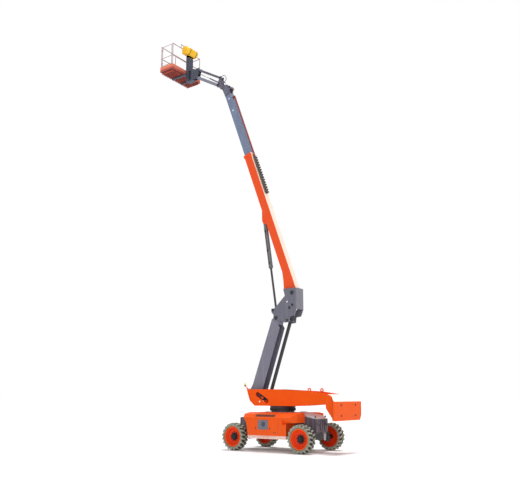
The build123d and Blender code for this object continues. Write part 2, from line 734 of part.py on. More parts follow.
# Fly boom with guide pads at its tail
with BuildPart() as fly_boom:
    with BuildSketch(boom_across.offset(fly_tail)):
        Rectangle(fly_width, fly_depth)
        Rectangle(fly_width - 2 * fly_wall, fly_depth - 2 * fly_wall, mode=Mode.SUBTRACT)
    extrude(amount=fly_tip - fly_tail)
    with BuildSketch(boom_across.offset(fly_tail)):
        Rectangle(2 * inner[1] - 2 * slide_play, 2 * inner[0] - 2 * slide_play)
        Rectangle(fly_width - 2 * fly_wall, fly_depth - 2 * fly_wall, mode=Mode.SUBTRACT)
    extrude(amount=120)
keep(fly_boom, "fly_boom")

with BuildPart() as carrier_tube:
    with BuildSketch(boom_across.offset(boom_tip - 300)):
        with Locations((0, -carrier_height)):
            Circle(carrier_radius)
            Circle(carrier_radius - 6, mode=Mode.SUBTRACT)
    extrude(amount=fly_tip - boom_tip + 140)
    clip_place = boom_tip + collar + telescope_in + 30
    clip = panel(
        boom_plane, (clip_place, -carrier_height + carrier_radius - 4), (clip_place + 60, -fly_depth / 2)
    )
    extrude(clip, amount=30, both=True)
keep(carrier_tube, "carrier_tube")

# Head of the fly: an end plate and two cheeks that bend forward to the jib pin
with BuildPart() as boom_head:
    extrude(
        panel(boom_plane, (fly_tip, -fly_depth / 2), (fly_tip + 40, fly_depth / 2)), amount=fly_width / 2,
        both=True
    )
    goose = [
        (fly_tip, -fly_depth / 2), (fly_tip + 170, -fly_depth / 2), (fly_tip + 240, level_place[1] - 45),
        (fly_tip + 340, level_place[1] - 40), (fly_tip + 430, -105), (fly_tip + 620, 40),
        (fly_tip + jib_root[0] + 65, jib_root[1] - 60), (fly_tip + jib_root[0] + 70, jib_root[1] + 35),
        (fly_tip + jib_root[0] + 10, jib_root[1] + 78), (fly_tip + jib_root[0] - 80, jib_root[1] + 70),
        (fly_tip + 570, 225), (fly_tip + 330, 160), (fly_tip, fly_depth / 2),
    ]
    for hand in (-1, 1):
        cheek_plane = Plane(
            origin=boom_plane.origin + Vector(0, hand * head_plate[0], 0),
            x_dir=boom_plane.x_dir,
            z_dir=boom_plane.z_dir,
        )
        extrude(outline(cheek_plane, *goose), amount=-hand * (head_plate[1] - head_plate[0]))
    extrude(disc(side(root), jib_pin), amount=head_plate[0], both=True)
    level_seat = reach(boom_foot, boom_angle, fly_tip + level_place[0], level_place[1])
    extrude(disc(side(level_seat), 22), amount=head_plate[0], both=True)
keep(boom_head, "boom_head")

# Levelling bracket, which keeps the jib's root upright
with BuildPart() as level_bracket:
    lean = span(root, upper_root)
    tilt = radians(lean[1])
    ear_along = level_shift[0] * cos(tilt) + level_shift[1] * sin(tilt)
    ear_across = level_shift[1] * cos(tilt) - level_shift[0] * sin(tilt)
    shield = [
        (-70, -50), (-70, 55), (60, 70), (lean[0] + 65, 55), (lean[0] + 65, -55), (lean[0] - 60, -60),
        (ear_along + 55, ear_across - 25), (ear_along + 15, ear_across - 55),
        (ear_along - 50, ear_across - 30),
    ]
    for hand in (-1, 1):
        plane = side(root, lean[1], hand * bracket_plate[0])
        extrude(outline(plane, *shield), amount=-hand * (bracket_plate[1] - bracket_plate[0]))
    extrude(disc(side(upper_root), 28), amount=bracket_plate[0], both=True)
    extrude(disc(side(root), jib_pin + pin_play), amount=bracket_plate[1], both=True, mode=Mode.SUBTRACT)
    level_eye = (root[0] + level_shift[0], root[1] + level_shift[1])
    jib_seat = (root[0] + jib_seat_shift[0], root[1] + jib_seat_shift[1])
    extrude(disc(side(jib_seat), 18), amount=bracket_plate[0], both=True)
keep(level_bracket, "level_bracket")

# Jib: a lower arm and an upper link, each of twin bars
for name, start, radius, depth in (("jib_arm", root, jib_pin, 120), ("jib_link", upper_root, 28, 84)):
    with BuildPart() as bars:
        for hand in (-1, 1):
            plane = side(start, jib_angle, hand * bar_plate[0])
            strip = panel(plane, (0, -depth / 2), (jib_length, depth / 2))
            extrude(strip, amount=-hand * (bar_plate[1] - bar_plate[0]))
        for place in (0, jib_length):
            for hand in (-1, 1):
                eye = side(reach(start, jib_angle, place), 0, hand * bar_plate[0])
                extrude(disc(eye, radius + 22), amount=-hand * (bar_plate[1] - bar_plate[0]))
        tie = side(reach(start, jib_angle, jib_length - 150))
        extrude(disc(tie, depth / 2 - 14), amount=bar_plate[1], both=True)
        for place in (0, jib_length):
            eye = side(reach(start, jib_angle, place))
            extrude(disc(eye, radius + pin_play), amount=bar_plate[1], both=True, mode=Mode.SUBTRACT)
    keep(bars, name)

# Platform carrier at the jib's tip, with the turning drum
with BuildPart() as jib_carrier:
    shield = [
        (tip[0] + 70, tip[1] - 60), (upper_tip[0] + 75, upper_tip[1] + 60),
        (upper_tip[0] - 60, upper_tip[1] + 70),
        (turn_x, jib_mid + 190), (turn_x, jib_mid - 190), (tip[0] - 60, tip[1] - 75),
    ]
    for hand in (-1, 1):
        plane = side((0, 0), 0, hand * bracket_plate[0])
        extrude(outline(plane, *shield), amount=-hand * (bracket_plate[1] - bracket_plate[0]))
    extrude(disc(plan(turn_x, 0, jib_mid - drum_half), turn_radius), amount=2 * drum_half)
    extrude(disc(side(tip), jib_pin), amount=bracket_plate[0], both=True)
    extrude(disc(side(upper_tip), 28), amount=bracket_plate[0], both=True)
keep(jib_carrier, "jib_carrier")

# Jib cylinder, from the bracket up to the carrier
jib_eye = (tip[0] + jib_eye_shift[0], tip[1] + jib_eye_shift[1])
jib_lift, jib_lift_angle = span(jib_seat, jib_eye)
with BuildPart() as jib_barrel:
    seat = side(jib_seat, jib_lift_angle)
    extrude(disc(seat, 34), amount=30, both=True)
    body = Plane(origin=seat.origin, x_dir=(0, 1, 0), z_dir=seat.x_dir)
    extrude(disc(body.offset(24), 32), amount=700)
    extrude(disc(body.offset(90), 20), amount=700, mode=Mode.SUBTRACT)
    extrude(disc(seat, 18 + pin_play), amount=30, both=True, mode=Mode.SUBTRACT)
keep(jib_barrel, "jib_barrel")

with BuildPart() as jib_rod:
    body = Plane(origin=side(jib_seat).origin, x_dir=(0, 1, 0), z_dir=side(jib_seat, jib_lift_angle).x_dir)
    extrude(disc(body.offset(400), 20 - pin_play), amount=jib_lift - 420)
    extrude(disc(side(jib_eye), 30), amount=24, both=True)
    extrude(disc(side(jib_eye), 16), amount=bar_plate[0] - 4, both=True)
keep(jib_rod, "jib_rod")

# Levelling cylinder in the boom head
level_run, level_angle = span(level_seat, level_eye)
with BuildPart() as level_barrel:
    seat = side(level_seat, level_angle)
    extrude(disc(seat, 40), amount=30, both=True)
    body = Plane(origin=seat.origin, x_dir=(0, 1, 0), z_dir=seat.x_dir)
    extrude(disc(body.offset(28), 38), amount=level_run * 0.55)
    extrude(disc(body.offset(90), 20), amount=level_run, mode=Mode.SUBTRACT)
    extrude(disc(seat, 22 + pin_play), amount=30, both=True, mode=Mode.SUBTRACT)
keep(level_barrel, "level_barrel")

with BuildPart() as level_rod:
    body = Plane(origin=side(level_seat).origin, x_dir=(0, 1, 0), z_dir=side(level_seat, level_angle).x_dir)
    extrude(disc(body.offset(level_run * 0.45), 20 - pin_play), amount=level_run * 0.55 - 10)
    extrude(disc(side(level_eye), 34), amount=30, both=True)
    extrude(disc(side(level_eye), 20), amount=bracket_plate[0] - 8, both=True)
keep(level_rod, "level_rod")

# Platform mast with the two arms that hold the turning drum
with BuildPart() as platform_mast:
    drum_low = jib_mid - drum_half
    drum_high = jib_mid + drum_half
    for low, high in ((drum_low - 60, drum_low - slide_play), (drum_high + slide_play, drum_high + 60)):
        extrude(disc(plan(turn_x, 0, low), turn_radius), amount=high - low)
        extrude(panel(plan(turn_x, 0, low), (-190, -turn_radius), (0, turn_radius)), amount=high - low)
    extrude(
        panel(plan(turn_x, 0, drum_low - 60), (-290, -150), (-150, 150)), amount=mast_high - drum_low + 60
    )
    for beam_y in (-300, 300):
        beam = panel(
            plan(0, beam_y, floor_low - rib_depth - 70), (floor_front + 160, -40), (turn_x - 200, 40)
        )
        extrude(beam, amount=70)
    extrude(panel(plan(turn_x, 0, floor_low - rib_depth - 70), (-290, -340), (-200, 340)), amount=70)
keep(platform_mast, "platform_mast")

# Platform floor with its edge channel
with BuildPart() as platform_floor:
    extrude(
        panel(plan(0, 0, floor_low), (floor_front, -floor_half), (floor_rear, floor_half)),
        amount=floor_high - floor_low
    )
    tray = panel(
        plan(0, 0, floor_low), (floor_front + 40, -floor_half + 40), (floor_rear - 40, floor_half - 40)
    )
    extrude(tray, amount=floor_high - floor_low - 20, mode=Mode.SUBTRACT)
    rib_count = int((floor_half - 60) / rib_pitch)
    for rib in range(-rib_count, rib_count + 1):
        grate = panel(
            plan(0, rib * rib_pitch, floor_low - rib_depth), (floor_front + 30, -8), (floor_rear - 30, 8)
        )
        extrude(grate, amount=rib_depth + floor_depth - 10)
    walk = panel(
        plan(0, 0, floor_high), (floor_front + 60, -floor_half + 60), (floor_rear - 60, floor_half - 60)
    )
    extrude(walk, amount=tread)
keep(platform_floor, "platform_floor")

with BuildPart() as toe_board:
    skirt = panel(plan(0, 0, floor_high), (floor_front, -floor_half), (floor_rear, floor_half))
    extrude(skirt, amount=toe_high - floor_high)
    room = panel(
        plan(0, 0, floor_high), (floor_front + 8, -floor_half + 8), (floor_rear - 8, floor_half - 8)
    )
    extrude(room, amount=toe_high - floor_high, mode=Mode.SUBTRACT)
keep(toe_board, "toe_board")

# Guard rails: posts, with a top and a middle rail bent round three sides
rail_front = floor_front + rail_radius + 8
rail_rear = floor_rear - rail_radius - 8
rail_half = floor_half - rail_radius - 8
with BuildPart() as guard_rails:
    for post_x in (rail_front, rail_rear):
        for post_y in (-rail_half, 0, rail_half):
            extrude(tube(plan(post_x, post_y, floor_high), post_radius), amount=rail_high - floor_high)
    for rail_z in (rail_mid, rail_high):
        for rail_x in (rail_front, rail_rear):
            run = tube(side((rail_x, rail_z), 0, rail_half), rail_radius)
            extrude(run, amount=2 * rail_half + 22)
        crossing = tube(end(rail_front, rail_half, rail_z), rail_radius)
        extrude(crossing, amount=rail_rear - rail_front)
    for hoop_y in (-hoop_half, hoop_half):
        extrude(tube(plan(rail_rear, hoop_y, rail_high), post_radius), amount=hoop_lift)
    extrude(
        tube(side((rail_rear, rail_high + hoop_lift)), post_radius), amount=hoop_half + post_radius,
        both=True
    )
    for hinge_z in (toe_high + 150, rail_high - 200):
        strap = panel(plan(rail_front, -rail_half, hinge_z), (0, -14), (gate_inset, 14))
        extrude(strap, amount=40)
        knob = plan(rail_front + gate_inset, -rail_half, hinge_z)
        extrude(disc(knob, gate_radius + 12), amount=40)
        extrude(disc(knob, gate_radius + slide_play), amount=40, mode=Mode.SUBTRACT)
keep(guard_rails, "guard_rails")

# Entry gate on the right side, hung on straps from the front post
with BuildPart() as entry_gate:
    gate_y = -rail_half
    gate_low = toe_high + 30
    hung = rail_front + gate_inset
    extrude(disc(plan(hung, gate_y, gate_low), gate_radius), amount=rail_high - gate_low)
    extrude(tube(plan(rail_rear - gate_inset, gate_y, gate_low), gate_radius), amount=rail_high - gate_low)
    for gate_z in (gate_low + 20, rail_mid, rail_high - 20):
        bar = tube(end(hung, gate_y, gate_z), gate_radius - 2)
        extrude(bar, amount=rail_rear - gate_inset - hung)
keep(entry_gate, "entry_gate")

# Platform console: a foot on the mast's head and a rounded hood
with BuildPart() as console:
    back_x = floor_rear + 10
    foot = panel(plan(0, 0, mast_high), (back_x + 110, -140), (back_x + 240, 140))
    extrude(foot, amount=console_rise + 20)
    hood_low = mast_high + console_rise
    hood = [
        (back_x, hood_low), (back_x, hood_low + 230), (back_x + 60, hood_low + 320),
        (back_x + 170, hood_low + 340),
        (back_x + 260, hood_low + 230), (back_x + 260, hood_low),
    ]
    extrude(outline(side((0, 0)), *hood), amount=350, both=True)
    fillet(console.edges().filter_by(Axis.Y).group_by(Axis.Z)[-1], radius=70)
keep(console, "console")
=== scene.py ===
"""Dresses the boom lift: finishes, wheels, fasteners, hoses, controls, floor, light and camera."""

import json
import logging
from dataclasses import dataclass
from enum import Enum
from typing import Iterable, Optional

import bmesh
import bpy
import numpy as np
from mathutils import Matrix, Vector


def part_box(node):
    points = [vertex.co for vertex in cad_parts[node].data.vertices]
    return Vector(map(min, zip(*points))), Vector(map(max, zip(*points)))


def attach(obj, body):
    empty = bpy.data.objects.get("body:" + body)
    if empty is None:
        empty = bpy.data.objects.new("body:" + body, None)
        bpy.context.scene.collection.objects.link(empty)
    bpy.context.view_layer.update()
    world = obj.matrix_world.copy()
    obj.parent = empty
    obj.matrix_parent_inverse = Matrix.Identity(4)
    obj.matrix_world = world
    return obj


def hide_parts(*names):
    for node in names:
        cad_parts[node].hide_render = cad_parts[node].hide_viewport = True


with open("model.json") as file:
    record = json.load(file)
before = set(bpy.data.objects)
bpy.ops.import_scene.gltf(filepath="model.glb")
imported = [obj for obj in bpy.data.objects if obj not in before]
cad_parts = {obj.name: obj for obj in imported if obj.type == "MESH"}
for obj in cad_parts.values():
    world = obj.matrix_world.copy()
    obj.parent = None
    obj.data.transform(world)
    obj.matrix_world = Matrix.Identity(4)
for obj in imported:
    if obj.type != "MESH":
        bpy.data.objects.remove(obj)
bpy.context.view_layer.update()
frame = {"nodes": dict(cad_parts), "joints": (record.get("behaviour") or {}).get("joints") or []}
LOG = logging.getLogger("boom_lift")
JOINTS = {joint["name"]: joint for joint in frame["joints"]}
WHEELS = ("drive_left", "drive_right", "steer_left", "steer_right")
TURN_AXIS_X = JOINTS["slew"]["pos_m"][0]
TURN = 2.0 * np.pi
HANDS = (-1.0, 1.0)
ALONG_X, ALONG_Y, UP = (1.0, 0.0, 0.0), (0.0, 1.0, 0.0), (0.0, 0.0, 1.0)
Triple = tuple[float, float, float]
Colour = Triple
Socket = bpy.types.NodeSocket
Profile = list[tuple[float, float]]
Route = tuple[Triple, ...]


def rgb(red: int, green: int, blue: int) -> Colour:
    """Turns a screen colour of 0 to 255 into the linear colour that a shader takes."""
    share = np.array([red, green, blue]) / 255.0
    low, high = share / 12.92, ((share + 0.055) / 1.055) ** 2.4
    return tuple(float(value) for value in np.where(share < 0.04045, low, high))


def from_axis(x: float, y: float, z: float) -> np.ndarray:
    """Place in the model of a point given from the turning axis, in metres."""
    return np.array([x + TURN_AXIS_X, y, z])


def corners(node: str) -> tuple[np.ndarray, np.ndarray]:
    """Lowest and highest corner of a CAD node at rest."""
    low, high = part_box(node)
    return np.array(low), np.array(high)


def linked(name: str, data: bpy.types.ID) -> bpy.types.Object:
    """Puts a mesh, curve, lamp or camera into the scene as an object."""
    made = bpy.data.objects.new(name, data)
    bpy.context.scene.collection.objects.link(made)
    return made


class Graph:
    """A short way to add nodes to one material's tree."""

    def __init__(self, tree: bpy.types.NodeTree) -> None:
        """Empties the tree and keeps it."""
        self.tree = tree
        tree.nodes.clear()

    def put(self, place: Socket, value: object) -> None:
        """Links a socket to an input, or sets the input's own value."""
        if isinstance(value, Socket):
            self.tree.links.new(value, place)
        else:
            place.default_value = value

    def add(self, kind: str, **values: object) -> bpy.types.Node:
        """Adds a node and sets its inputs, or else its properties, by name.

        Args:
            kind: the node's type.
            values: a value or a socket to link, for each input or property.

        Returns:
            The new node.
        """
        node = self.tree.nodes.new(kind)
        for key, value in values.items():
            name = key.replace("_", " ")
            if name in node.inputs:
                self.put(node.inputs[name], value)
            else:
                setattr(node, key, value)
        return node

    def pair(self, kind: str, operation: str, first: object, second: object) -> bpy.types.Node:
        """Adds a math node that takes two inputs, each a value or a socket."""
        node = self.add(kind, operation=operation)
        self.put(node.inputs[0], first)
        self.put(node.inputs[1], second)
        return node

    def blend(self, factor: object, low: object, high: object) -> Socket:
        """Mixes two colours by a factor; each may be a value or a socket."""
        node = self.add("ShaderNodeMix", data_type="RGBA")
        self.put(node.inputs[0], factor)
        for index, colour in ((6, low), (7, high)):
            made = isinstance(colour, Socket)
            self.put(node.inputs[index], colour if made else (*colour, 1.0))
        return node.outputs[2]

    def ramp(self, value: Socket, low: float, high: float, bottom: float, top: float) -> Socket:
        """Carries a value from one range into another and holds it at the ends."""
        ends = {"From_Min": low, "From_Max": high, "To_Min": bottom, "To_Max": top}
        return self.add("ShaderNodeMapRange", Value=value, **ends).outputs[0]

    def noise(self, spot: Socket, scale: float, **values: float) -> Socket:
        """Noise at a place, from 0 to 1."""
        return self.add("ShaderNodeTexNoise", Vector=spot, Scale=scale, **values).outputs["Fac"]

    def times(self, first: object, second: object) -> Socket:
        """Multiplies two values."""
        return self.pair("ShaderNodeMath", "MULTIPLY", first, second).outputs[0]

    def along(self, first: object, second: object) -> Socket:
        """Dot product of two directions."""
        return self.pair("ShaderNodeVectorMath", "DOT_PRODUCT", first, second).outputs["Value"]


CLOUD_SCALE = 1.7
STREAK_SCALE = (14.0, 14.0, 0.9)
RELIEF_DEPTH = 0.004
SPLIT_BLUR = 0.004
# How softly and how far the painted light and shade by facing takes over.
LIGHT_SHADE_BLUR = 0.13
LIGHT_SHADE_MOST = 0.92
DUST_TOP = 1.4
DUST = rgb(176, 172, 158)


@dataclass(frozen=True)
class Finish:
    """One surface finish: its colours, how they vary, its gloss and its relief.

    The colour drifts towards tint in broad clouds, runs of dirt hang down it, dust gathers near the ground,
    and the edges show worn. Below split_z, in metres, the colour is under instead. Faces along a given axis,
    or both ways along it, take a second colour: painted light and shade, set by which way each face turns.
    """

    name: str
    colour: Colour
    tint: Colour
    worn: Colour = (0.3, 0.3, 0.3)
    roughness: float = 0.45
    metallic: float = 0.0
    fade: float = 0.5
    grain: float = 90.0
    relief: float = 0.08
    edge: float = 0.0
    runs: float = 0.0
    dust: float = 0.0
    coat: float = 0.0
    under: Optional[Colour] = None
    split_z: float = 0.0
    shine: float = 0.5
    # A second colour by facing: painted light and shade, lighter on faces the light would reach and darker on
    # faces in shade.
    facing_light_shade: Optional[Colour] = None
    light_shade_axis: Triple = UP
    light_shade_from: float = 0.80
    light_shade_twice: bool = False

    def material(self) -> bpy.types.Material:
        """Returns the finish as a node material, made once."""
        known = bpy.data.materials.get(self.name)
        if known:
            return known
        made = bpy.data.materials.new(self.name)
        made.use_nodes = True
        graph = Graph(made.node_tree)
        where = graph.add("ShaderNodeTexCoord")
        broad = graph.noise(where.outputs["Object"], CLOUD_SCALE, Detail=6.0, Roughness=0.6)
        fine = graph.noise(where.outputs["Object"], self.grain, Detail=3.0)
        shade = self.weathered(graph, where, broad, self.painted(graph, where, broad))
        dull, bright = min(self.roughness + 0.1, 1.0), max(self.roughness - 0.08, 0.02)
        gloss = graph.ramp(fine, 0.25, 0.75, bright, dull)
        bump = graph.add("ShaderNodeBump", Strength=self.relief, Distance=RELIEF_DEPTH, Height=fine)
        shader = graph.add(
            "ShaderNodeBsdfPrincipled", Base_Color=shade, Roughness=gloss, Metallic=self.metallic,
            Coat_Weight=self.coat, Specular_IOR_Level=self.shine, Normal=bump.outputs[0],
        )
        graph.add("ShaderNodeOutputMaterial", Surface=shader.outputs[0])
        return made

    def painted(self, graph: Graph, where: bpy.types.Node, broad: Socket) -> Socket:
        """The paint itself.

        Args:
            graph: the material's tree.
            where: the node of the object's coordinates.
            broad: the clouds.

        Returns:
            Its colour, with the lower colour, the painted light and shade by facing, or the clouds.
        """
        base: object = self.colour
        if self.under:
            height = graph.add("ShaderNodeSeparateXYZ", Vector=where.outputs["Object"]).outputs["Z"]
            step = graph.ramp(height, self.split_z - SPLIT_BLUR, self.split_z + SPLIT_BLUR, 0.0, 1.0)
            base = graph.blend(step, self.under, self.colour)
        if not self.facing_light_shade:
            return graph.blend(graph.ramp(broad, 0.35, 0.75, 0.0, self.fade), base, self.tint)
        # Painted light and shade: faces turned along the axis take the second colour, in place of how the
        # lamps light them.
        facing = graph.along(where.outputs["Normal"], self.light_shade_axis)
        if self.light_shade_twice:
            facing = graph.times(facing, facing)
        share = graph.ramp(facing, self.light_shade_from, self.light_shade_from + LIGHT_SHADE_BLUR, 0.0, LIGHT_SHADE_MOST)
        return graph.blend(share, base, self.facing_light_shade)

    def weathered(self, graph: Graph, where: bpy.types.Node, broad: Socket, shade: Socket) -> Socket:
        """What the weather did to the paint.

        Args:
            graph: the material's tree.
            where: the node of the object's coordinates.
            broad: the clouds.
            shade: the paint's colour.

        Returns:
            The colour with runs, dust and worn edges.
        """
        spot = where.outputs["Object"]
        if self.runs:
            hanging = graph.add("ShaderNodeMapping", Vector=spot, Scale=STREAK_SCALE).outputs[0]
            streak = graph.noise(hanging, 1.0, Detail=4.0)
            shade = graph.blend(graph.ramp(streak, 0.5, 0.72, 0.0, self.runs), shade, self.worn)
        if self.dust:
            height = graph.add("ShaderNodeSeparateXYZ", Vector=spot).outputs["Z"]
            patches = graph.ramp(broad, 0.3, 0.6, 0.4, 1.0)
            near = graph.times(graph.ramp(height, 0.0, DUST_TOP, self.dust, 0.0), patches)
            shade = graph.blend(near, shade, DUST)
        if self.edge:
            rounded = graph.add("ShaderNodeBevel", samples=4, Radius=self.edge).outputs[0]
            flat = graph.add("ShaderNodeNewGeometry").outputs["Normal"]
            corner = graph.ramp(graph.along(rounded, flat), 0.99, 0.85, 0.0, 0.8)
            rubbed = graph.times(corner, graph.ramp(broad, 0.35, 0.6, 0.15, 1.0))
            shade = graph.blend(rubbed, shade, self.worn)
        return shade


ORANGE_BASE = (0.955, 0.112, 0.006)
ORANGE_TINT = (0.82, 0.085, 0.005)
ORANGE_WORN = (0.98, 0.30, 0.10)
# Cream of the painted highlight on the boom's rear face.
BOOM_PAINTED_HIGHLIGHT = rgb(255, 238, 222)


class Paint(Enum):
    """The finishes of the machine."""

    ORANGE = Finish(
        "orange_deck_paint", ORANGE_BASE, ORANGE_TINT, (0.98, 0.115, 0.008), 0.42, edge=0.006, runs=0.03,
        shine=0.08,
    )
    # The counterweight's top faces are painted near white: a painted highlight of the lit top.
    WEIGHT = Finish(
        "orange_weight_paint", ORANGE_BASE, ORANGE_TINT, ORANGE_WORN, 0.42, edge=0.008, runs=0.07, shine=0.12,
        facing_light_shade=rgb(255, 244, 236), light_shade_axis=(0.08, 0.0, 0.997),
    )
    POD = Finish(
        "orange_pod_paint", (0.93, 0.108, 0.005), (0.76, 0.076, 0.004), ORANGE_WORN, 0.42, edge=0.006,
        runs=0.08, dust=0.06, shine=0.12, under=rgb(250, 232, 222), split_z=0.560,
    )
    # The boom's rear face is painted cream: a painted highlight where the light falls on it.
    BOOM = Finish(
        "orange_boom_paint", (0.86, 0.092, 0.022), (0.76, 0.080, 0.018), ORANGE_WORN, 0.42, edge=0.006,
        runs=0.05, shine=0.15, facing_light_shade=BOOM_PAINTED_HIGHLIGHT, light_shade_axis=(0.9389, 0.0, 0.3442),
    )
    RISER = Finish(
        "grey_riser_paint", rgb(128, 127, 142), rgb(108, 107, 122), rgb(170, 168, 178), 0.48, edge=0.006,
        runs=0.14, shine=0.3,
    )
    # The knuckle's rear faces are painted a lighter grey: a painted highlight where the light falls on them.
    KNUCKLE = Finish(
        "grey_knuckle_paint", rgb(108, 108, 121), rgb(92, 92, 104), rgb(164, 162, 172), 0.5, edge=0.006,
        runs=0.14, shine=0.3, facing_light_shade=rgb(132, 131, 141), light_shade_axis=(1.0, 0.0, 0.0),
    )
    FLY = Finish(
        "grey_fly_paint", rgb(118, 132, 158), rgb(104, 116, 142), rgb(176, 182, 200), 0.42, edge=0.005,
        runs=0.16, shine=0.3,
    )
    # The chassis's sloped top faces are painted near white: a painted highlight of the lit tops.
    FRAME = Finish(
        "dark_chassis_paint", rgb(82, 77, 90), rgb(58, 55, 67), rgb(176, 172, 176), 0.5, edge=0.006,
        runs=0.25, dust=0.2, shine=0.3, facing_light_shade=rgb(250, 249, 250), light_shade_axis=(0.30, 0.0, 0.954),
    )
    DARK = Finish(
        "dark_steel_paint", rgb(50, 51, 58), rgb(38, 39, 46), rgb(108, 106, 104), 0.5, edge=0.004, dust=0.2,
        shine=0.3,
    )
    MAST = Finish(
        "slate_mast_paint", rgb(76, 80, 94), rgb(58, 62, 74), rgb(140, 140, 150), 0.48, edge=0.005, shine=0.3,
    )
    HEAD = Finish(
        "grey_head_paint", rgb(96, 92, 108), rgb(76, 73, 88), rgb(176, 168, 178), 0.48, edge=0.005, runs=0.25,
        shine=0.3,
    )
    ARM = Finish(
        "grey_arm_paint", rgb(136, 136, 154), rgb(108, 108, 124), rgb(196, 192, 202), 0.45, edge=0.005,
        runs=0.2, shine=0.3,
    )
    BLACK = Finish(
        "black_parts", rgb(30, 31, 34), rgb(22, 23, 26), rgb(80, 80, 82), 0.48, edge=0.003, shine=0.3,
    )
    LUG = Finish(
        "tyre_lug_rubber", rgb(146, 147, 134), rgb(170, 170, 156), rgb(196, 195, 182), 0.9, fade=0.9,
        grain=150.0, relief=0.35, edge=0.01, shine=0.2,
    )
    # Dark where it shows between the lugs: painted shade in the gaps; faces towards the sides take the lugs'
    # pale tone.
    CASING = Finish(
        "tyre_casing_rubber", rgb(62, 62, 54), rgb(84, 84, 74), rgb(110, 110, 100), 0.9, fade=0.9,
        grain=150.0, relief=0.3, shine=0.2, facing_light_shade=rgb(142, 143, 131), light_shade_axis=(0.0, 1.0, 0.0),
        light_shade_from=0.40, light_shade_twice=True,
    )
    # The dish is painted a darker red than the lip: painted shade in the dish.
    RIM = Finish(
        "red_orange_rim_paint", (0.86, 0.050, 0.004), (0.66, 0.036, 0.004), (0.92, 0.20, 0.06), 0.40,
        edge=0.004, shine=0.15,
    )
    # The lip is painted a brighter orange than the dish: a painted highlight on the rim's edge.
    LIP = Finish(
        "orange_lip_paint", (0.96, 0.150, 0.016), (0.86, 0.110, 0.012), (0.98, 0.34, 0.14), 0.40, edge=0.004,
        shine=0.2,
    )
    CHROME = Finish(
        "polished_rod", (0.62, 0.62, 0.64), (0.5, 0.5, 0.53), roughness=0.16, metallic=1.0, relief=0.02,
    )
    ROD = Finish("dark_rod", rgb(58, 57, 62), rgb(42, 41, 46), roughness=0.28, metallic=0.4, relief=0.02)
    BARREL = Finish(
        "grey_barrel_paint", rgb(104, 109, 114), rgb(84, 89, 94), rgb(170, 174, 178), 0.38, runs=0.2,
        edge=0.004, shine=0.4,
    )
    TUBE = Finish("red_brown_tube", rgb(150, 46, 42), rgb(108, 40, 42), rgb(170, 96, 88), 0.42, runs=0.25)
    TRAY = Finish("tray_steel", rgb(106, 95, 86), rgb(82, 74, 68), rgb(160, 150, 140), 0.55, edge=0.004)
    RAIL = Finish("rail_grey_paint", rgb(190, 168, 172), rgb(164, 142, 148), rgb(222, 206, 208), 0.45)
    TOE = Finish(
        "toe_board_paint", rgb(236, 130, 100), rgb(212, 108, 82), rgb(244, 178, 154), 0.5, edge=0.004,
    )
    # The floor's underside is painted dark: painted shade under the platform.
    FLOOR = Finish(
        "floor_paint", rgb(176, 78, 66), rgb(136, 60, 54), rgb(206, 128, 114), 0.55, edge=0.003,
        facing_light_shade=rgb(92, 62, 58), light_shade_axis=(0.0, 0.0, -1.0), light_shade_from=0.6,
    )
    YELLOW = Finish(
        "yellow_hood", rgb(252, 198, 36), rgb(238, 174, 28), rgb(255, 228, 120), 0.38, edge=0.006, shine=0.4,
    )
    PANEL = Finish(
        "panel_grey", rgb(118, 120, 130), rgb(92, 98, 112), rgb(170, 174, 182), 0.40, fade=0.9, edge=0.003,
    )
    GAUGE = Finish("gauge_blue", rgb(58, 74, 104), rgb(44, 56, 80), rgb(120, 130, 150), 0.30)
    LENS = Finish("pale_lens", rgb(236, 230, 150), rgb(216, 208, 120), roughness=0.18, relief=0.02, coat=0.5)
    STUD = Finish("zinc_studs", rgb(140, 138, 132), rgb(96, 94, 90), roughness=0.4, metallic=0.6, relief=0.05)
    PAD = Finish("white_plastic", rgb(226, 230, 236), rgb(204, 208, 214), roughness=0.4, relief=0.03)
    RED = Finish("red_button", rgb(196, 26, 22), rgb(160, 20, 18), roughness=0.35, relief=0.03, coat=0.3)
    HOSE = Finish(
        "pale_hose_rubber", rgb(196, 176, 172), rgb(160, 146, 144), (0.5, 0.5, 0.5), 0.6, grain=300.0,
    )
    LINE = Finish("dark_hose_rubber", rgb(52, 50, 56), rgb(38, 37, 42), (0.2, 0.2, 0.2), 0.5, grain=300.0)
    PIPE = Finish("pipe_steel", rgb(64, 62, 66), rgb(48, 47, 50), roughness=0.4, metallic=0.4)


class Slot(Enum):
    """Names of the record's material slots."""

    BLACK = "black_plastic"
    RUBBER = "black_rubber"
    STEEL = "dark_steel"
    GREY = "grey_paint"
    ORANGE = "orange_paint"
    RAIL = "rail_grey"
    LENS = "amber_lens"
    YELLOW = "yellow_plastic"


WELD = 1e-5
SHARP_ANGLE = np.radians(38.0)


def unit(vectors: np.ndarray) -> np.ndarray:
    """Directions of length one."""
    return vectors / np.linalg.norm(vectors, axis=-1, keepdims=True)


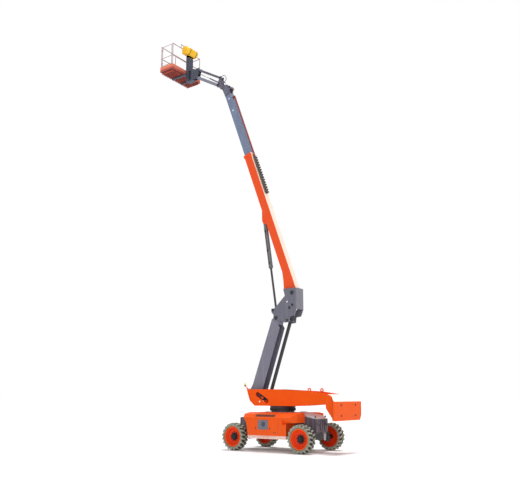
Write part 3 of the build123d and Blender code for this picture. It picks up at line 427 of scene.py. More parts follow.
@dataclass
class Shape:
    """Points and four-sided faces of a surface that isn't a mesh yet."""

    points: np.ndarray
    faces: np.ndarray

    @classmethod
    def grid(cls, points: np.ndarray, around: bool = True) -> "Shape":
        """Joins the neighbours of a grid of points into quads.

        Args:
            points: places by row, column and coordinate.
            around: whether the last column joins the first.

        Returns:
            The surface.
        """
        rows, columns = points.shape[:2]
        index = np.arange(rows * columns).reshape(rows, columns)
        if around:
            index = np.hstack([index, index[:, :1]])
        corners = (index[:-1, :-1], index[1:, :-1], index[1:, 1:], index[:-1, 1:])
        return cls(points.reshape(-1, 3), np.stack(corners, axis=-1).reshape(-1, 4))

    @classmethod
    def turned(cls, profile: Profile, sides: int = 48, twist: float = 0.0) -> "Shape":
        """Turns a profile round Z: each point is (r cos a, r sin a, h) with a going once round.

        Args:
            profile: pairs of radius and height; a radius of 0 closes an end.
            sides: steps round the axis, 6 for a hexagon.
            twist: the first step's angle.

        Returns:
            The turned surface.
        """
        radius, height = np.array(profile).T
        angle = twist + np.linspace(0.0, TURN, sides, endpoint=False)
        ring = np.stack([np.cos(angle), np.sin(angle), np.zeros(sides)], axis=-1)
        return cls.grid(radius[:, None, None] * ring + height[:, None, None] * np.array(UP))

    @classmethod
    def block(cls, size: Triple, edge: float = 0.003) -> "Shape":
        """Chamfered box round the origin: corner signs times the half size less each level's inset."""
        half = np.array(size) / 2.0
        edge = min(edge, 0.8 * half.min())
        inset = np.array([half.max(), edge, 0.0, 0.0, edge, half.max()])[:, None, None]
        level = np.array([-half[2], -half[2], edge - half[2], half[2] - edge, half[2], half[2]])
        sign = np.array([[-1, -1], [1, -1], [1, 1], [-1, 1]])
        flat = sign * np.maximum(half[:2] - inset, 0.0)
        return cls.grid(np.concatenate([flat, np.broadcast_to(level[:, None, None], (6, 4, 1))], axis=-1))

    @classmethod
    def tube(cls, path: np.ndarray, radius: float, sides: int = 14, beside: Triple = ALONG_Y) -> "Shape":
        """Carries a circle along a path and closes its ends: point = path + r (cos a n + sin a b).

        Args:
            path: points along the middle, in order.
            radius: of the tube.
            sides: steps round it.
            beside: a direction that the path never follows; n stands square to it and to the path.

        Returns:
            The tube's surface.
        """
        ahead = unit(np.gradient(path, axis=0))
        across = unit(np.cross(np.array(beside), ahead))
        above = np.cross(ahead, across)
        angle = np.linspace(0.0, TURN, sides, endpoint=False)[None, :, None]
        ring = np.cos(angle) * across[:, None] + np.sin(angle) * above[:, None]
        ends = [np.repeat(path[place][None, None], sides, axis=1) for place in (0, -1)]
        return cls.grid(np.concatenate([ends[0], path[:, None] + radius * ring, ends[1]]))

    def placed(self, places: np.ndarray, out: np.ndarray, up: Triple = UP) -> "Shape":
        """Sets a copy at each place: point = place + x side + y top + z out, with side = up x out.

        Args:
            places: one place or a row of them.
            out: the direction that the shape's Z takes, one for all or one each.
            up: a direction that out never follows.

        Returns:
            All copies as one shape.
        """
        places = np.atleast_2d(places)
        out = unit(np.broadcast_to(np.atleast_2d(np.array(out, dtype=float)), places.shape))
        side = unit(np.cross(np.array(up, dtype=float), out))
        basis = np.stack([side, np.cross(out, side), out], axis=1)
        points = np.einsum("nj,kji->kni", self.points, basis) + places[:, None]
        steps = np.arange(len(places))[:, None, None] * len(self.points)
        return Shape(points.reshape(-1, 3), (self.faces[None] + steps).reshape(-1, 4))

    def upright(self, places: np.ndarray) -> "Shape":
        """Sets a copy at each place with its Z up."""
        return self.placed(places, UP, up=ALONG_X)

    def sideways(self, places: np.ndarray, hand: float) -> "Shape":
        """Sets a copy at each place with its Z to a side: 1 is left and -1 is right."""
        return self.placed(places, (0.0, hand, 0.0))

    @staticmethod
    def joined(shapes: Iterable["Shape"]) -> "Shape":
        """All shapes as one, in their order."""
        shapes = list(shapes)
        starts = np.cumsum([0] + [len(shape.points) for shape in shapes])
        faces = [shape.faces + start for shape, start in zip(shapes, starts)]
        return Shape(np.vstack([shape.points for shape in shapes]), np.vstack(faces))

    def __add__(self, other: "Shape") -> "Shape":
        """Both shapes as one."""
        return Shape.joined((self, other))

    def piece(
        self, name: str, paint: Paint, body: str, slot: Slot = Slot.STEEL, replaces: tuple[str, ...] = ()
    ) -> bpy.types.Object:
        """Makes the mesh, closes its seams, turns its faces out, dresses it and lets it ride.

        Args:
            name: the piece's name.
            paint: its finish.
            body: the body that carries it.
            slot: the record's slot that it takes; not used.
            replaces: nodes that it stands for.

        Returns:
            The new object.
        """
        mesh = bpy.data.meshes.new(name)
        mesh.from_pydata(self.points.tolist(), [], self.faces.tolist())
        shell = bmesh.new()
        shell.from_mesh(mesh)
        bmesh.ops.remove_doubles(shell, verts=shell.verts, dist=WELD)
        bmesh.ops.dissolve_degenerate(shell, edges=shell.edges, dist=WELD / 10.0)
        bmesh.ops.recalc_face_normals(shell, faces=shell.faces)
        shell.to_mesh(mesh)
        shell.free()
        mesh.polygons.foreach_set("use_smooth", np.ones(len(mesh.polygons), dtype=bool))
        mesh.set_sharp_from_angle(angle=SHARP_ANGLE)
        mesh.materials.append(paint.value.material())
        made = linked(name, mesh)
        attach(made, body)
        for node in replaces:
            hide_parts(node)
        LOG.info("made %s, %d faces", name, len(mesh.polygons))
        return made


def hex_bolt(radius: float, height: float) -> Shape:
    """Hexagon head on a washer: a six-sided profile turned over a round one, both with a small chamfer."""
    flange = 1.45 * radius
    washer = [(0.0, 0.0), (flange, 0.0), (flange, 0.18 * height), (0.0, 0.2 * height)]
    head = [
        (0.0, 0.1 * height), (radius, 0.15 * height), (radius, 0.85 * height), (0.86 * radius, height),
        (0.0, height),
    ]
    return Shape.turned(washer, 16) + Shape.turned(head, 6)


def button(radius: float, height: float) -> Shape:
    """Domed button on a collar: height falls as a quarter ellipse towards its rim."""
    angle = np.linspace(0.0, np.pi / 2, 7)
    dome = [(radius * np.sin(a), height * (0.45 + 0.55 * np.cos(a))) for a in angle]
    collar = [(radius, 0.3 * height), (1.35 * radius, 0.3 * height), (1.45 * radius, 0.0), (0.0, 0.0)]
    return Shape.turned(dome + collar, 20)


def ring_of(count: int, lead: float = 0.0) -> np.ndarray:
    """Directions spread evenly round Z: (cos a, sin a, 0), the first at the angle lead."""
    angle = np.arange(count) * TURN / count + lead
    return np.stack([np.cos(angle), np.sin(angle), 0.0 * angle], axis=-1)


def squared(values: np.ndarray, power: float) -> np.ndarray:
    """Sine or cosine values raised to a power under one, with their sign, which squares a circle off."""
    return np.sign(values) * np.abs(values) ** power


def dress(paint: Paint, *names: str) -> None:
    """Gives CAD nodes a finish in all their material slots."""
    for name in names:
        node = frame["nodes"][name]
        if not node.data.materials:
            node.data.materials.append(None)
        for slot in node.material_slots:
            slot.material = paint.value.material()
        LOG.info("dressed %s with %s", name, paint.value.name)


@dataclass
class Studio:
    """Floor, lamps, white surroundings and the camera at the photograph's place."""

    eye: Triple = (14.138, -21.111, 1.981)
    aim: Triple = (-0.570, 0.793, 0.215)
    lens: float = 46.38
    sensor: float = 36.0
    sight: float = 1000.0
    key_from: Triple = (0.02, 0.14, 0.99)
    key_power: float = 2.45
    key_spread: float = 0.40
    fill_from: Triple = (0.58, -0.78, 0.24)
    fill_power: float = 1.25
    fill_spread: float = 1.30
    sky: float = 0.38
    reach: float = 260.0
    floor_grey: float = 0.88
    floor_glow: float = 0.06

    def build(self) -> None:
        """Makes the camera, the floor, a soft lamp overhead, a broad one from the front and the sky."""
        self.camera()
        self.floor()
        self.lamp("key_lamp", self.key_from, self.key_power, self.key_spread)
        self.lamp("fill_lamp", self.fill_from, self.fill_power, self.fill_spread)
        self.surroundings()

    def floor(self) -> None:
        """A wide flat sheet at z = 0 that keeps the shadow and is white elsewhere."""
        edges = np.array([[-1, -1, 0], [1, -1, 0], [1, 1, 0], [-1, 1, 0]]) * self.reach
        mesh = bpy.data.meshes.new("studio_floor")
        mesh.from_pydata(edges.tolist(), [], [[0, 1, 2, 3]])
        made = bpy.data.materials.new("studio_floor")
        made.use_nodes = True
        graph = Graph(made.node_tree)
        seen = graph.add("ShaderNodeLightPath").outputs["Is Camera Ray"]
        both = graph.add("ShaderNodeAddShader")
        spread = graph.add("ShaderNodeBsdfDiffuse", Color=(*[self.floor_grey] * 3, 1.0))
        glow = graph.add("ShaderNodeEmission", Strength=graph.times(seen, self.floor_glow))
        graph.put(both.inputs[0], spread.outputs[0])
        graph.put(both.inputs[1], glow.outputs[0])
        graph.add("ShaderNodeOutputMaterial", Surface=both.outputs[0])
        mesh.materials.append(made)
        linked("studio_floor", mesh)

    @staticmethod
    def lamp(name: str, place: Triple, power: float, spread: float) -> None:
        """A far lamp that stands in the direction place and fills an angle of spread, in radians."""
        lamp = bpy.data.lights.new(name, "SUN")
        lamp.energy = power
        lamp.angle = spread
        linked(name, lamp).rotation_euler = Vector(place).to_track_quat("Z", "Y").to_euler()

    def surroundings(self) -> None:
        """An even sky, which camera and mirror rays see as white."""
        world = bpy.data.worlds.new("white_surroundings")
        world.use_nodes = True
        bpy.context.scene.world = world
        graph = Graph(world.node_tree)
        ray = graph.add("ShaderNodeLightPath").outputs
        bent = graph.pair("ShaderNodeMath", "MAXIMUM", ray["Is Glossy Ray"], ray["Is Transmission Ray"])
        seen = graph.pair("ShaderNodeMath", "MAXIMUM", ray["Is Camera Ray"], bent.outputs[0])
        strength = graph.ramp(seen.outputs[0], 0.0, 1.0, self.sky, 1.0)
        sky = graph.add("ShaderNodeBackground", Color=(1.0, 1.0, 1.0, 1.0), Strength=strength)
        graph.add("ShaderNodeOutputWorld", Surface=sky.outputs[0])

    def camera(self) -> None:
        """The camera, placed from the turning axis."""
        data = bpy.data.cameras.new("photo_camera")
        data.lens = self.lens
        data.sensor_width = self.sensor
        data.clip_end = self.sight
        camera = linked("photo_camera", data)
        camera.location = from_axis(*self.eye)
        camera.rotation_euler = Vector(self.aim).to_track_quat("-Z", "Y").to_euler()
        bpy.context.scene.camera = camera


@dataclass
class HeadHoses:
    """The two free hoses at the boom's head, each a smooth line between two fittings on one body."""

    width: float = 0.026
    tube_loop: Route = (
        (-2.470, 0.0, 14.540), (-2.515, 0.012, 14.665), (-2.480, 0.050, 14.860),
        (-2.550, 0.080, 15.030), (-2.690, 0.090, 15.070), (-2.800, 0.090, 15.020),
    )
    bracket_loop: Route = (
        (-3.060, -0.070, 15.600), (-2.985, -0.075, 15.650), (-2.860, -0.078, 15.600),
        (-2.790, -0.078, 15.480), (-2.810, -0.075, 15.350), (-2.930, -0.070, 15.290),
    )

    def build(self) -> None:
        """Makes both hoses with a ferrule at each end."""
        self.hose("head_hose", self.tube_loop, "fly", Paint.HOSE)
        self.hose("bracket_hose", self.bracket_loop, "level_bracket", Paint.LINE)

    def hose(self, name: str, route: Route, body: str, paint: Paint) -> None:
        """Makes one hose as an open smooth spline through its control points.

        Args:
            name: the piece's name.
            route: control points from the turning axis.
            body: the body that carries both ends.
            paint: its finish.
        """
        places = np.array([from_axis(*point) for point in route])
        data = bpy.data.curves.new(name, "CURVE")
        data.dimensions = "3D"
        data.bevel_depth = self.width / 2
        data.bevel_resolution = 4
        data.use_fill_caps = True
        data.resolution_u = 16
        line = data.splines.new("NURBS")
        line.points.add(len(places) - 1)
        line.points.foreach_set("co", np.hstack([places, np.ones((len(places), 1))]).ravel())
        line.order_u = 3
        line.use_endpoint_u = True
        data.materials.append(paint.value.material())
        made = linked(name, data)
        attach(made, body)
        length = self.measured(data)
        ends = Shape.joined(
            self.ferrule().placed(places[end], places[inner] - places[end], up=(0.1, 1.0, 0.2))
            for end, inner in ((0, 1), (-1, -2))
        )
        fitting = ends.piece(name + "_ferrules", Paint.STUD, body)
        LOG.info("made %s, %.2f m long", name, length)

    @staticmethod
    def measured(data: bpy.types.Curve) -> float:
        """Length of a curve in metres, read from a copy with no bevel."""
        bare = data.copy()
        bare.bevel_depth = 0.0
        probe = linked(data.name + "_probe", bare)
        mesh = bpy.data.meshes.new_from_object(probe.evaluated_get(bpy.context.evaluated_depsgraph_get()))
        spots = np.empty(3 * len(mesh.vertices))
        mesh.vertices.foreach_get("co", spots)
        bpy.data.objects.remove(probe)
        bpy.data.meshes.remove(mesh)
        return float(np.linalg.norm(np.diff(spots.reshape(-1, 3), axis=0), axis=1).sum())

    @staticmethod
    def ferrule() -> Shape:
        """A stepped sleeve over a hose's end, turned round Z."""
        return Shape.turned([
            (0.0, -0.012), (0.019, -0.012), (0.019, 0.012), (0.016, 0.016), (0.016, 0.052), (0.0145, 0.056),
            (0.0, 0.056),
        ], 20)


@dataclass
class Wheel:
    """One wheel: a casing with slanted lugs, a dished rim, a hub with studs and a valve."""

    name: str
    radius: float = 0.488
    half: float = 0.175
    seat: float = 0.345
    sides: int = 96
    lug_count: int = 20
    lug_depth: float = 0.040
    lug_width: float = 0.058
    lug_slant: float = 0.022
    lug_start: float = 0.010
    groove: float = 0.027
    stud_ring: float = 0.156
    stud_count: int = 9
    nut_ring: float = 0.083
    nut_count: int = 8
    nut_lead: float = 0.2

    def build(self) -> None:
        """Makes the wheel's pieces round its axle, their Z outward."""
        middle = np.array(JOINTS[f"wheel_{self.name}_spin"]["pos_m"])
        for kind, shape, paint, slot, node in (
            ("casing_", self.casing(), Paint.CASING, Slot.RUBBER, "tyre_"),
            ("lugs_", self.lugs(), Paint.LUG, Slot.RUBBER, None),
            ("dish_", self.rim(), Paint.RIM, Slot.ORANGE, "rim_"),
            ("lip_", self.lip(), Paint.LIP, Slot.ORANGE, None),
            ("nave_", self.hub(), Paint.BLACK, Slot.STEEL, "hub_"),
            ("studs_", self.studs(), Paint.PIPE, Slot.STEEL, None),
        ):
            hidden = (node + self.name,) if node else ()
            placed = shape.sideways(middle, np.sign(middle[1]))
            placed.piece(kind + self.name, paint, "wheel_" + self.name, slot, hidden)

    def casing(self) -> Shape:
        """Rounded casing: a squared ellipse, sine and cosine raised to under one, turned round the axle."""
        crown = self.radius - self.groove
        angle = np.linspace(0.0, TURN, 40)
        radii = (crown + self.seat) / 2 + (crown - self.seat) / 2 * squared(np.sin(angle), 0.62)
        return Shape.turned(list(zip(radii, (self.half - 0.006) * squared(np.cos(angle), 0.50))), self.sides)

    def lugs(self) -> Shape:
        """Slanted lugs: a trapezoid carried across the tread in polar coordinates and over the shoulder."""
        share = np.linspace(0.0, 1.0, 9)[:, None]
        top = self.radius - 0.0015 - 0.016 * share ** 6
        base = self.radius - self.lug_depth - 0.012 - 0.050 * share ** 4
        level = np.concatenate([base, top - 0.010, top, top, top - 0.010, base], axis=1)
        width = self.lug_width / 2 * np.array([1.12, 1.0, 0.86, -0.86, -1.0, -1.12])
        tangent = self.lug_slant * (2.0 * share - 1.0) + width
        wide = np.broadcast_to(self.lug_start + (self.half - self.lug_start) * share, level.shape)
        level, tangent, wide = (self.capped(values) for values in (level, tangent, wide))
        step = TURN / self.lug_count
        turns = np.arange(self.lug_count)[:, None, None] * step
        made = []
        for row, lead in ((-1.0, 0.0), (1.0, step / 2)):
            angle = turns + lead + tangent / level
            across = np.broadcast_to(row * wide, angle.shape)
            made += list(np.stack([level * np.cos(angle), level * np.sin(angle), across], axis=-1))
        return Shape.joined(Shape.grid(lug) for lug in made)

    @staticmethod
    def capped(values: np.ndarray) -> np.ndarray:
        """Adds the mean of each end row, so that the ends close."""
        ends = [np.repeat(values[place].mean(keepdims=True), values.shape[1])[None] for place in (0, -1)]
        return np.concatenate([ends[0], values, ends[1]])

    def rim(self) -> Shape:
        """Dished rim: lip, deep wall, step, inner wall and disc as one closed profile, turned."""
        lip, bed = self.seat + 0.008, self.seat - 0.002
        profile = [
            (lip - 0.004, 0.152), (lip, 0.148), (lip, 0.138), (bed, 0.132), (bed, -0.132), (lip, -0.138),
            (lip, -0.148), (lip - 0.004, -0.152), (0.322, -0.146), (0.315, -0.130), (0.315, 0.000),
            (0.308, 0.005), (0.088, 0.005), (0.088, 0.030), (0.262, 0.030), (0.270, 0.036), (0.271, 0.068),
            (0.277, 0.075), (0.312, 0.075), (0.320, 0.081), (0.322, 0.140), (0.328, 0.150),
            (lip - 0.004, 0.152),
        ]
        return Shape.turned(profile, self.sides)

    def lip(self) -> Shape:
        """Ring over the rim's edge, painted lighter than the dish as a painted highlight: a low rounded
        profile turned round the axle.
        """
        edge = self.seat + 0.009
        profile = [
            (edge, 0.134), (edge + 0.002, 0.146), (edge - 0.004, 0.155), (0.330, 0.154), (0.3235, 0.146),
            (0.321, 0.120), (0.3195, 0.120), (0.3225, 0.110), (edge - 0.010, 0.134), (edge, 0.134),
        ]
        return Shape.turned(profile, self.sides)

    @staticmethod
    def hub() -> Shape:
        """Hub: barrel, flange, stepped nose and centre cap turned round the axle."""
        profile = [
            (0.0, -0.115), (0.085, -0.115), (0.085, 0.0305), (0.129, 0.0305), (0.132, 0.0335), (0.132, 0.054),
            (0.128, 0.058), (0.104, 0.058), (0.099, 0.063), (0.098, 0.104), (0.092, 0.113), (0.070, 0.117),
            (0.066, 0.112), (0.036, 0.112), (0.034, 0.118), (0.0, 0.118),
        ]
        return Shape.turned(profile, 64)

    def studs(self) -> Shape:
        """Rings of hexagon nuts on the disc and the hub, and the valve's stem."""
        outer = self.stud_ring * ring_of(self.stud_count, self.nut_lead) + np.array([0.0, 0.0, 0.030])
        inner = self.nut_ring * ring_of(self.nut_count, self.nut_lead) + np.array([0.0, 0.0, 0.1155])
        stem = np.array([[0.300, 0.0, 0.074], [0.300, 0.0, 0.100], [0.296, 0.0, 0.118]])
        nuts = hex_bolt(0.015, 0.030).upright(outer) + hex_bolt(0.007, 0.008).upright(inner)
        return nuts + Shape.tube(stem, 0.006, 10)


@dataclass
class Pins:
    """Heads of the pivot pins, each a stepped button with a keeper plate and two screws."""

    screw: float = 0.009
    plate: float = 0.008

    def build(self) -> None:
        """Sets the heads from a table of body, name, half width, radius and, off the joints, X and Z."""
        for body, name, half, radius, *spot in (
            ("knuckle", "knuckle_swing", 0.245, 0.055),
            ("knuckle", "boom_lift", 0.245, 0.062),
            ("knuckle", "link_top", 0.245, 0.040, 0.380, 4.680),
            ("knuckle", "rod_foot", 0.245, 0.048, -0.265, 5.110),
            ("turntable", "riser_lift", 0.450, 0.036),
            ("turntable", "riser_barrel_swing", 0.450, 0.030),
            ("turntable", "link_swing", 0.450, 0.030),
            ("fly", "bracket_level", 0.135, 0.042),
            ("fly", "level_barrel_swing", 0.135, 0.034),
            ("level_bracket", "jib_link_swing", 0.098, 0.036),
            ("jib_arm", "carrier_level", 0.072, 0.036),
        ):
            place = from_axis(spot[0], 0.0, spot[1]) if spot else np.array(JOINTS[name]["pos_m"])
            paint = Paint.ORANGE if body == "turntable" else Paint.DARK
            made = Shape.joined(self.head(place, half, radius, hand) for hand in HANDS)
            made.piece("pin_heads_" + name, paint, body)

    def head(self, place: np.ndarray, half: float, radius: float, hand: float) -> Shape:
        """Makes one head of a pin.

        Args:
            place: a point on the pin's axis.
            half: distance of the plates' outer faces from the middle.
            radius: of the pin's head.
            hand: its side, 1 for left and -1 for right.

        Returns:
            The head with its keeper and screws.
        """
        profile = [
            (0.0, 0.015), (0.30 * radius, 0.015), (0.34 * radius, 0.012), (0.82 * radius, 0.012),
            (0.92 * radius, 0.009), (0.92 * radius, 0.004), (1.25 * radius, 0.004), (1.30 * radius, 0.0),
            (0.0, 0.0),
        ]
        keeper = Shape.block((2.6 * radius, 0.7 * radius, self.plate), 0.002)
        spot = np.array([place[0], hand * half, place[2]])
        plate = spot + np.array([0.0, hand * 0.010, 0.75 * radius])
        screws = plate + np.array([[-radius, hand * 0.003, 0.0], [radius, hand * 0.003, 0.0]])
        made = Shape.turned(profile, 40).sideways(spot, hand) + keeper.sideways(plate, hand)
        return made + hex_bolt(self.screw, self.plate).sideways(screws, hand)


@dataclass
class Pods:
    """Dark plates in the pods' louvres as painted shade, door latches, flange bolts and the ground panel's
    controls.
    """

    outer: float = 1.100
    louvre_start: float = -0.470
    louvre_pitch: float = 0.062
    louvre_count: int = 14
    shoulder: tuple[float, float] = (1.025, 1.2435)
    slope: tuple[float, float] = (0.602, 0.799)
    shade_plate_depth: float = 0.012
    strip_lift: float = 0.0005
    flange_row: tuple[float, float, int] = (-0.70, 0.54, 7)
    flange: tuple[float, float] = (1.112, 0.4875)
    latch_row: tuple[float, float] = (-0.440, 0.160)
    latch_z: float = 0.822
    drain_row: tuple[float, float] = (0.335, 0.405)
    drain_z: float = 0.668
    panel_middle: tuple[float, float] = (-0.1225, 0.9325)
    panel_face: float = 1.106
    dial_radius: float = 0.070

    def build(self) -> None:
        """Makes both sides and the panel."""
        for name, hand in (("left", 1.0), ("right", -1.0)):
            self.louvres(name, hand)
            self.latches(name, hand)
        self.controls()

    def louvres(self, name: str, hand: float) -> None:
        """Thin dark plates deep in the slots as painted shade, strips between them and bolts along the
        flange.
        """
        out = np.array([0.0, hand * self.slope[0], self.slope[1]])
        row = self.louvre_start + self.louvre_pitch * np.arange(self.louvre_count)
        places = np.array([from_axis(x, hand * self.shoulder[0], self.shoulder[1]) for x in row])
        # Dark plates deep in the slots: painted shade behind the louvres.
        shade_plate = Shape.block((0.033, 0.124, 0.004), 0.001).placed(places - out * self.shade_plate_depth, out)
        shade_plate.piece("louvre_liners_" + name, Paint.BLACK, "chassis", Slot.BLACK)
        between = (places[1:] + places[:-1]) / 2
        strips = Shape.block((0.027, 0.122, 0.003), 0.001).placed(between + out * self.strip_lift, out)
        strips.piece("louvre_strips_" + name, Paint.DARK, "chassis")
        row = np.linspace(*self.flange_row)
        bolts = np.array([from_axis(x, hand * self.flange[0], self.flange[1]) for x in row])
        heads = hex_bolt(0.009, 0.007).sideways(bolts, hand)
        heads.piece("flange_bolts_" + name, Paint.STUD, "chassis")

    def latches(self, name: str, hand: float) -> None:
        """Paddles in the door's two recesses, with a lock barrel under each, and two drain covers."""
        paddles = np.array([from_axis(x, hand * (self.outer - 0.009), self.latch_z) for x in self.latch_row])
        drains = np.array([from_axis(x, hand * (self.outer + 0.001), self.drain_z) for x in self.drain_row])
        locks = paddles + np.array([0.0, 0.0, -0.040])
        made = Shape.block((0.022, 0.066, 0.008), 0.003).sideways(paddles, hand)
        made += button(0.007, 0.008).sideways(locks, hand)
        made += Shape.block((0.046, 0.024, 0.006), 0.002).sideways(drains, hand)
        made.piece("door_latches_" + name, Paint.BLACK, "door_" + name, Slot.BLACK)

    def controls(self) -> None:
        """A round gauge, rows of buttons, a key switch and a red stop on the ground panel."""
        middle = from_axis(self.panel_middle[0], -self.panel_face, self.panel_middle[1])
        dial = self.dial_radius
        bezel = [(dial, 0.0), (0.074, 0.007), (0.082, 0.007), (0.086, 0.0), (dial, 0.0)]
        face = [(0.0, 0.003), (dial, 0.003), (dial, 0.0), (0.0, 0.0)]
        gauge = middle + np.array([0.020, 0.0, 0.022])
        row = np.linspace(-0.135, 0.150, 7)
        low = middle + np.stack([row, 0.0 * row, 0.0 * row - 0.098], axis=-1)
        side = middle + np.array([
            [-0.140, 0.0, 0.0], [-0.140, 0.0, -0.045], [0.145, 0.0, 0.060], [0.145, 0.0, 0.010],
        ])
        stop = middle + np.array([-0.130, 0.0, 0.080])
        for name, shape, places, paint, slot in (
            ("gauge_dial", Shape.turned(face, 48), gauge, Paint.GAUGE, Slot.BLACK),
            ("gauge_bezel", Shape.turned(bezel, 48), gauge, Paint.DARK, Slot.STEEL),
            ("panel_buttons", button(0.011, 0.007), np.vstack([low, side]), Paint.STUD, Slot.STEEL),
            ("panel_stop", button(0.020, 0.008), stop, Paint.RED, Slot.BLACK),
        ):
            shape.sideways(places, -1.0).piece(name, paint, "door_right", slot)


@dataclass
class Deck:
    """Ring gear, dark window backs as painted shade with pipes, counterweight bolts and the beacon on the
    turning deck.
    """

    ring_radius: float = 0.470
    ring_height: float = 1.455
    teeth: int = 80
    bolt_half: float = 0.51
    bolt_heights: tuple[float, float] = (1.27, 1.63)
    weight_face: float = 2.730
    window: Triple = (-0.84, 0.388, 1.935)
    pipe_lean: Triple = (0.20, 0.0, -0.15)
    pipe_shifts: Triple = (-0.045, 0.0, 0.045)
    pipe_out: float = 0.014
    pipe_bow: float = 0.010

    def build(self) -> None:
        """Makes the ring's teeth, the window backs, the bolts and the beacon."""
        self.gear()
        self.windows()
        self.bolts()
        self.beacon()

    def gear(self) -> None:
        """Teeth round the slewing ring: one chamfered block at each step of the turn."""
        out = ring_of(self.teeth)
        places = out * (self.ring_radius + 0.005) + from_axis(0.0, 0.0, self.ring_height)
        teeth = Shape.block((0.020, 0.060, 0.016), 0.004).placed(places, out)
        teeth.piece("ring_teeth", Paint.BLACK, "chassis")

    def windows(self) -> None:
        """Dark backs inside the side plates' windows, painted shade in the openings, with three pipes before
        each, bowed by 1 - t^2.
        """
        share = np.linspace(-1.0, 1.0, 9)
        x, y, z = self.window
        backs, pipes = [], []
        for hand in HANDS:
            spot = from_axis(x, hand * y, z)
            backs.append(Shape.block((0.56, 0.34, 0.008), 0.002).sideways(spot, hand))
            bow = self.pipe_bow * (1.0 - share ** 2)[:, None] * np.array([0.0, hand, 0.0])
            path = spot + share[:, None] * np.array(self.pipe_lean) + bow
            for shift in self.pipe_shifts:
                pipes.append(Shape.tube(path + np.array([shift, hand * self.pipe_out, shift]), 0.012, 12))
        # Dark plates behind the windows: painted shade inside the turntable.
        Shape.joined(backs).piece("window_backs", Paint.BLACK, "turntable", Slot.BLACK)
        Shape.joined(pipes).piece("window_pipes", Paint.TUBE, "turntable")

    def bolts(self) -> None:
        """Four bolts that hold the counterweight, two a side."""
        spots = [(hand * self.bolt_half, high) for hand in HANDS for high in self.bolt_heights]
        places = np.array([from_axis(self.weight_face, *spot) for spot in spots])
        heads = hex_bolt(0.026, 0.016).placed(places, ALONG_X)
        heads.piece("weight_bolts", Paint.DARK, "turntable")

    @staticmethod
    def beacon() -> None:
        """Ribbed lens on a dark base: radius follows a quarter ellipse above a straight wall."""
        low, high = corners("beacon")
        foot = np.array([(low[0] + high[0]) / 2, (low[1] + high[1]) / 2, low[2]])
        radius, tall = (high[0] - low[0]) / 2, high[2] - low[2]
        glass = 0.88 * radius
        angle = np.linspace(0.0, np.pi / 2, 9)
        dome = [(glass * np.cos(a), tall * (0.55 + 0.45 * np.sin(a))) for a in angle]
        wall = [(0.0, 0.2 * tall), (glass, 0.2 * tall), (0.92 * radius, 0.28 * tall), (glass, 0.34 * tall)]
        lens = Shape.turned(wall + dome, 40).upright(foot)
        lens.piece("beacon_lens", Paint.LENS, "turntable", Slot.LENS, ("beacon",))
        seat = 0.21 * tall
        base = [(0.0, 0.0), (radius, 0.0), (radius, 0.14 * tall), (0.9 * radius, seat), (0.0, seat)]
        plinth = Shape.turned(base, 40).upright(foot)
        plinth.piece("beacon_base", Paint.BLACK, "turntable", Slot.BLACK)


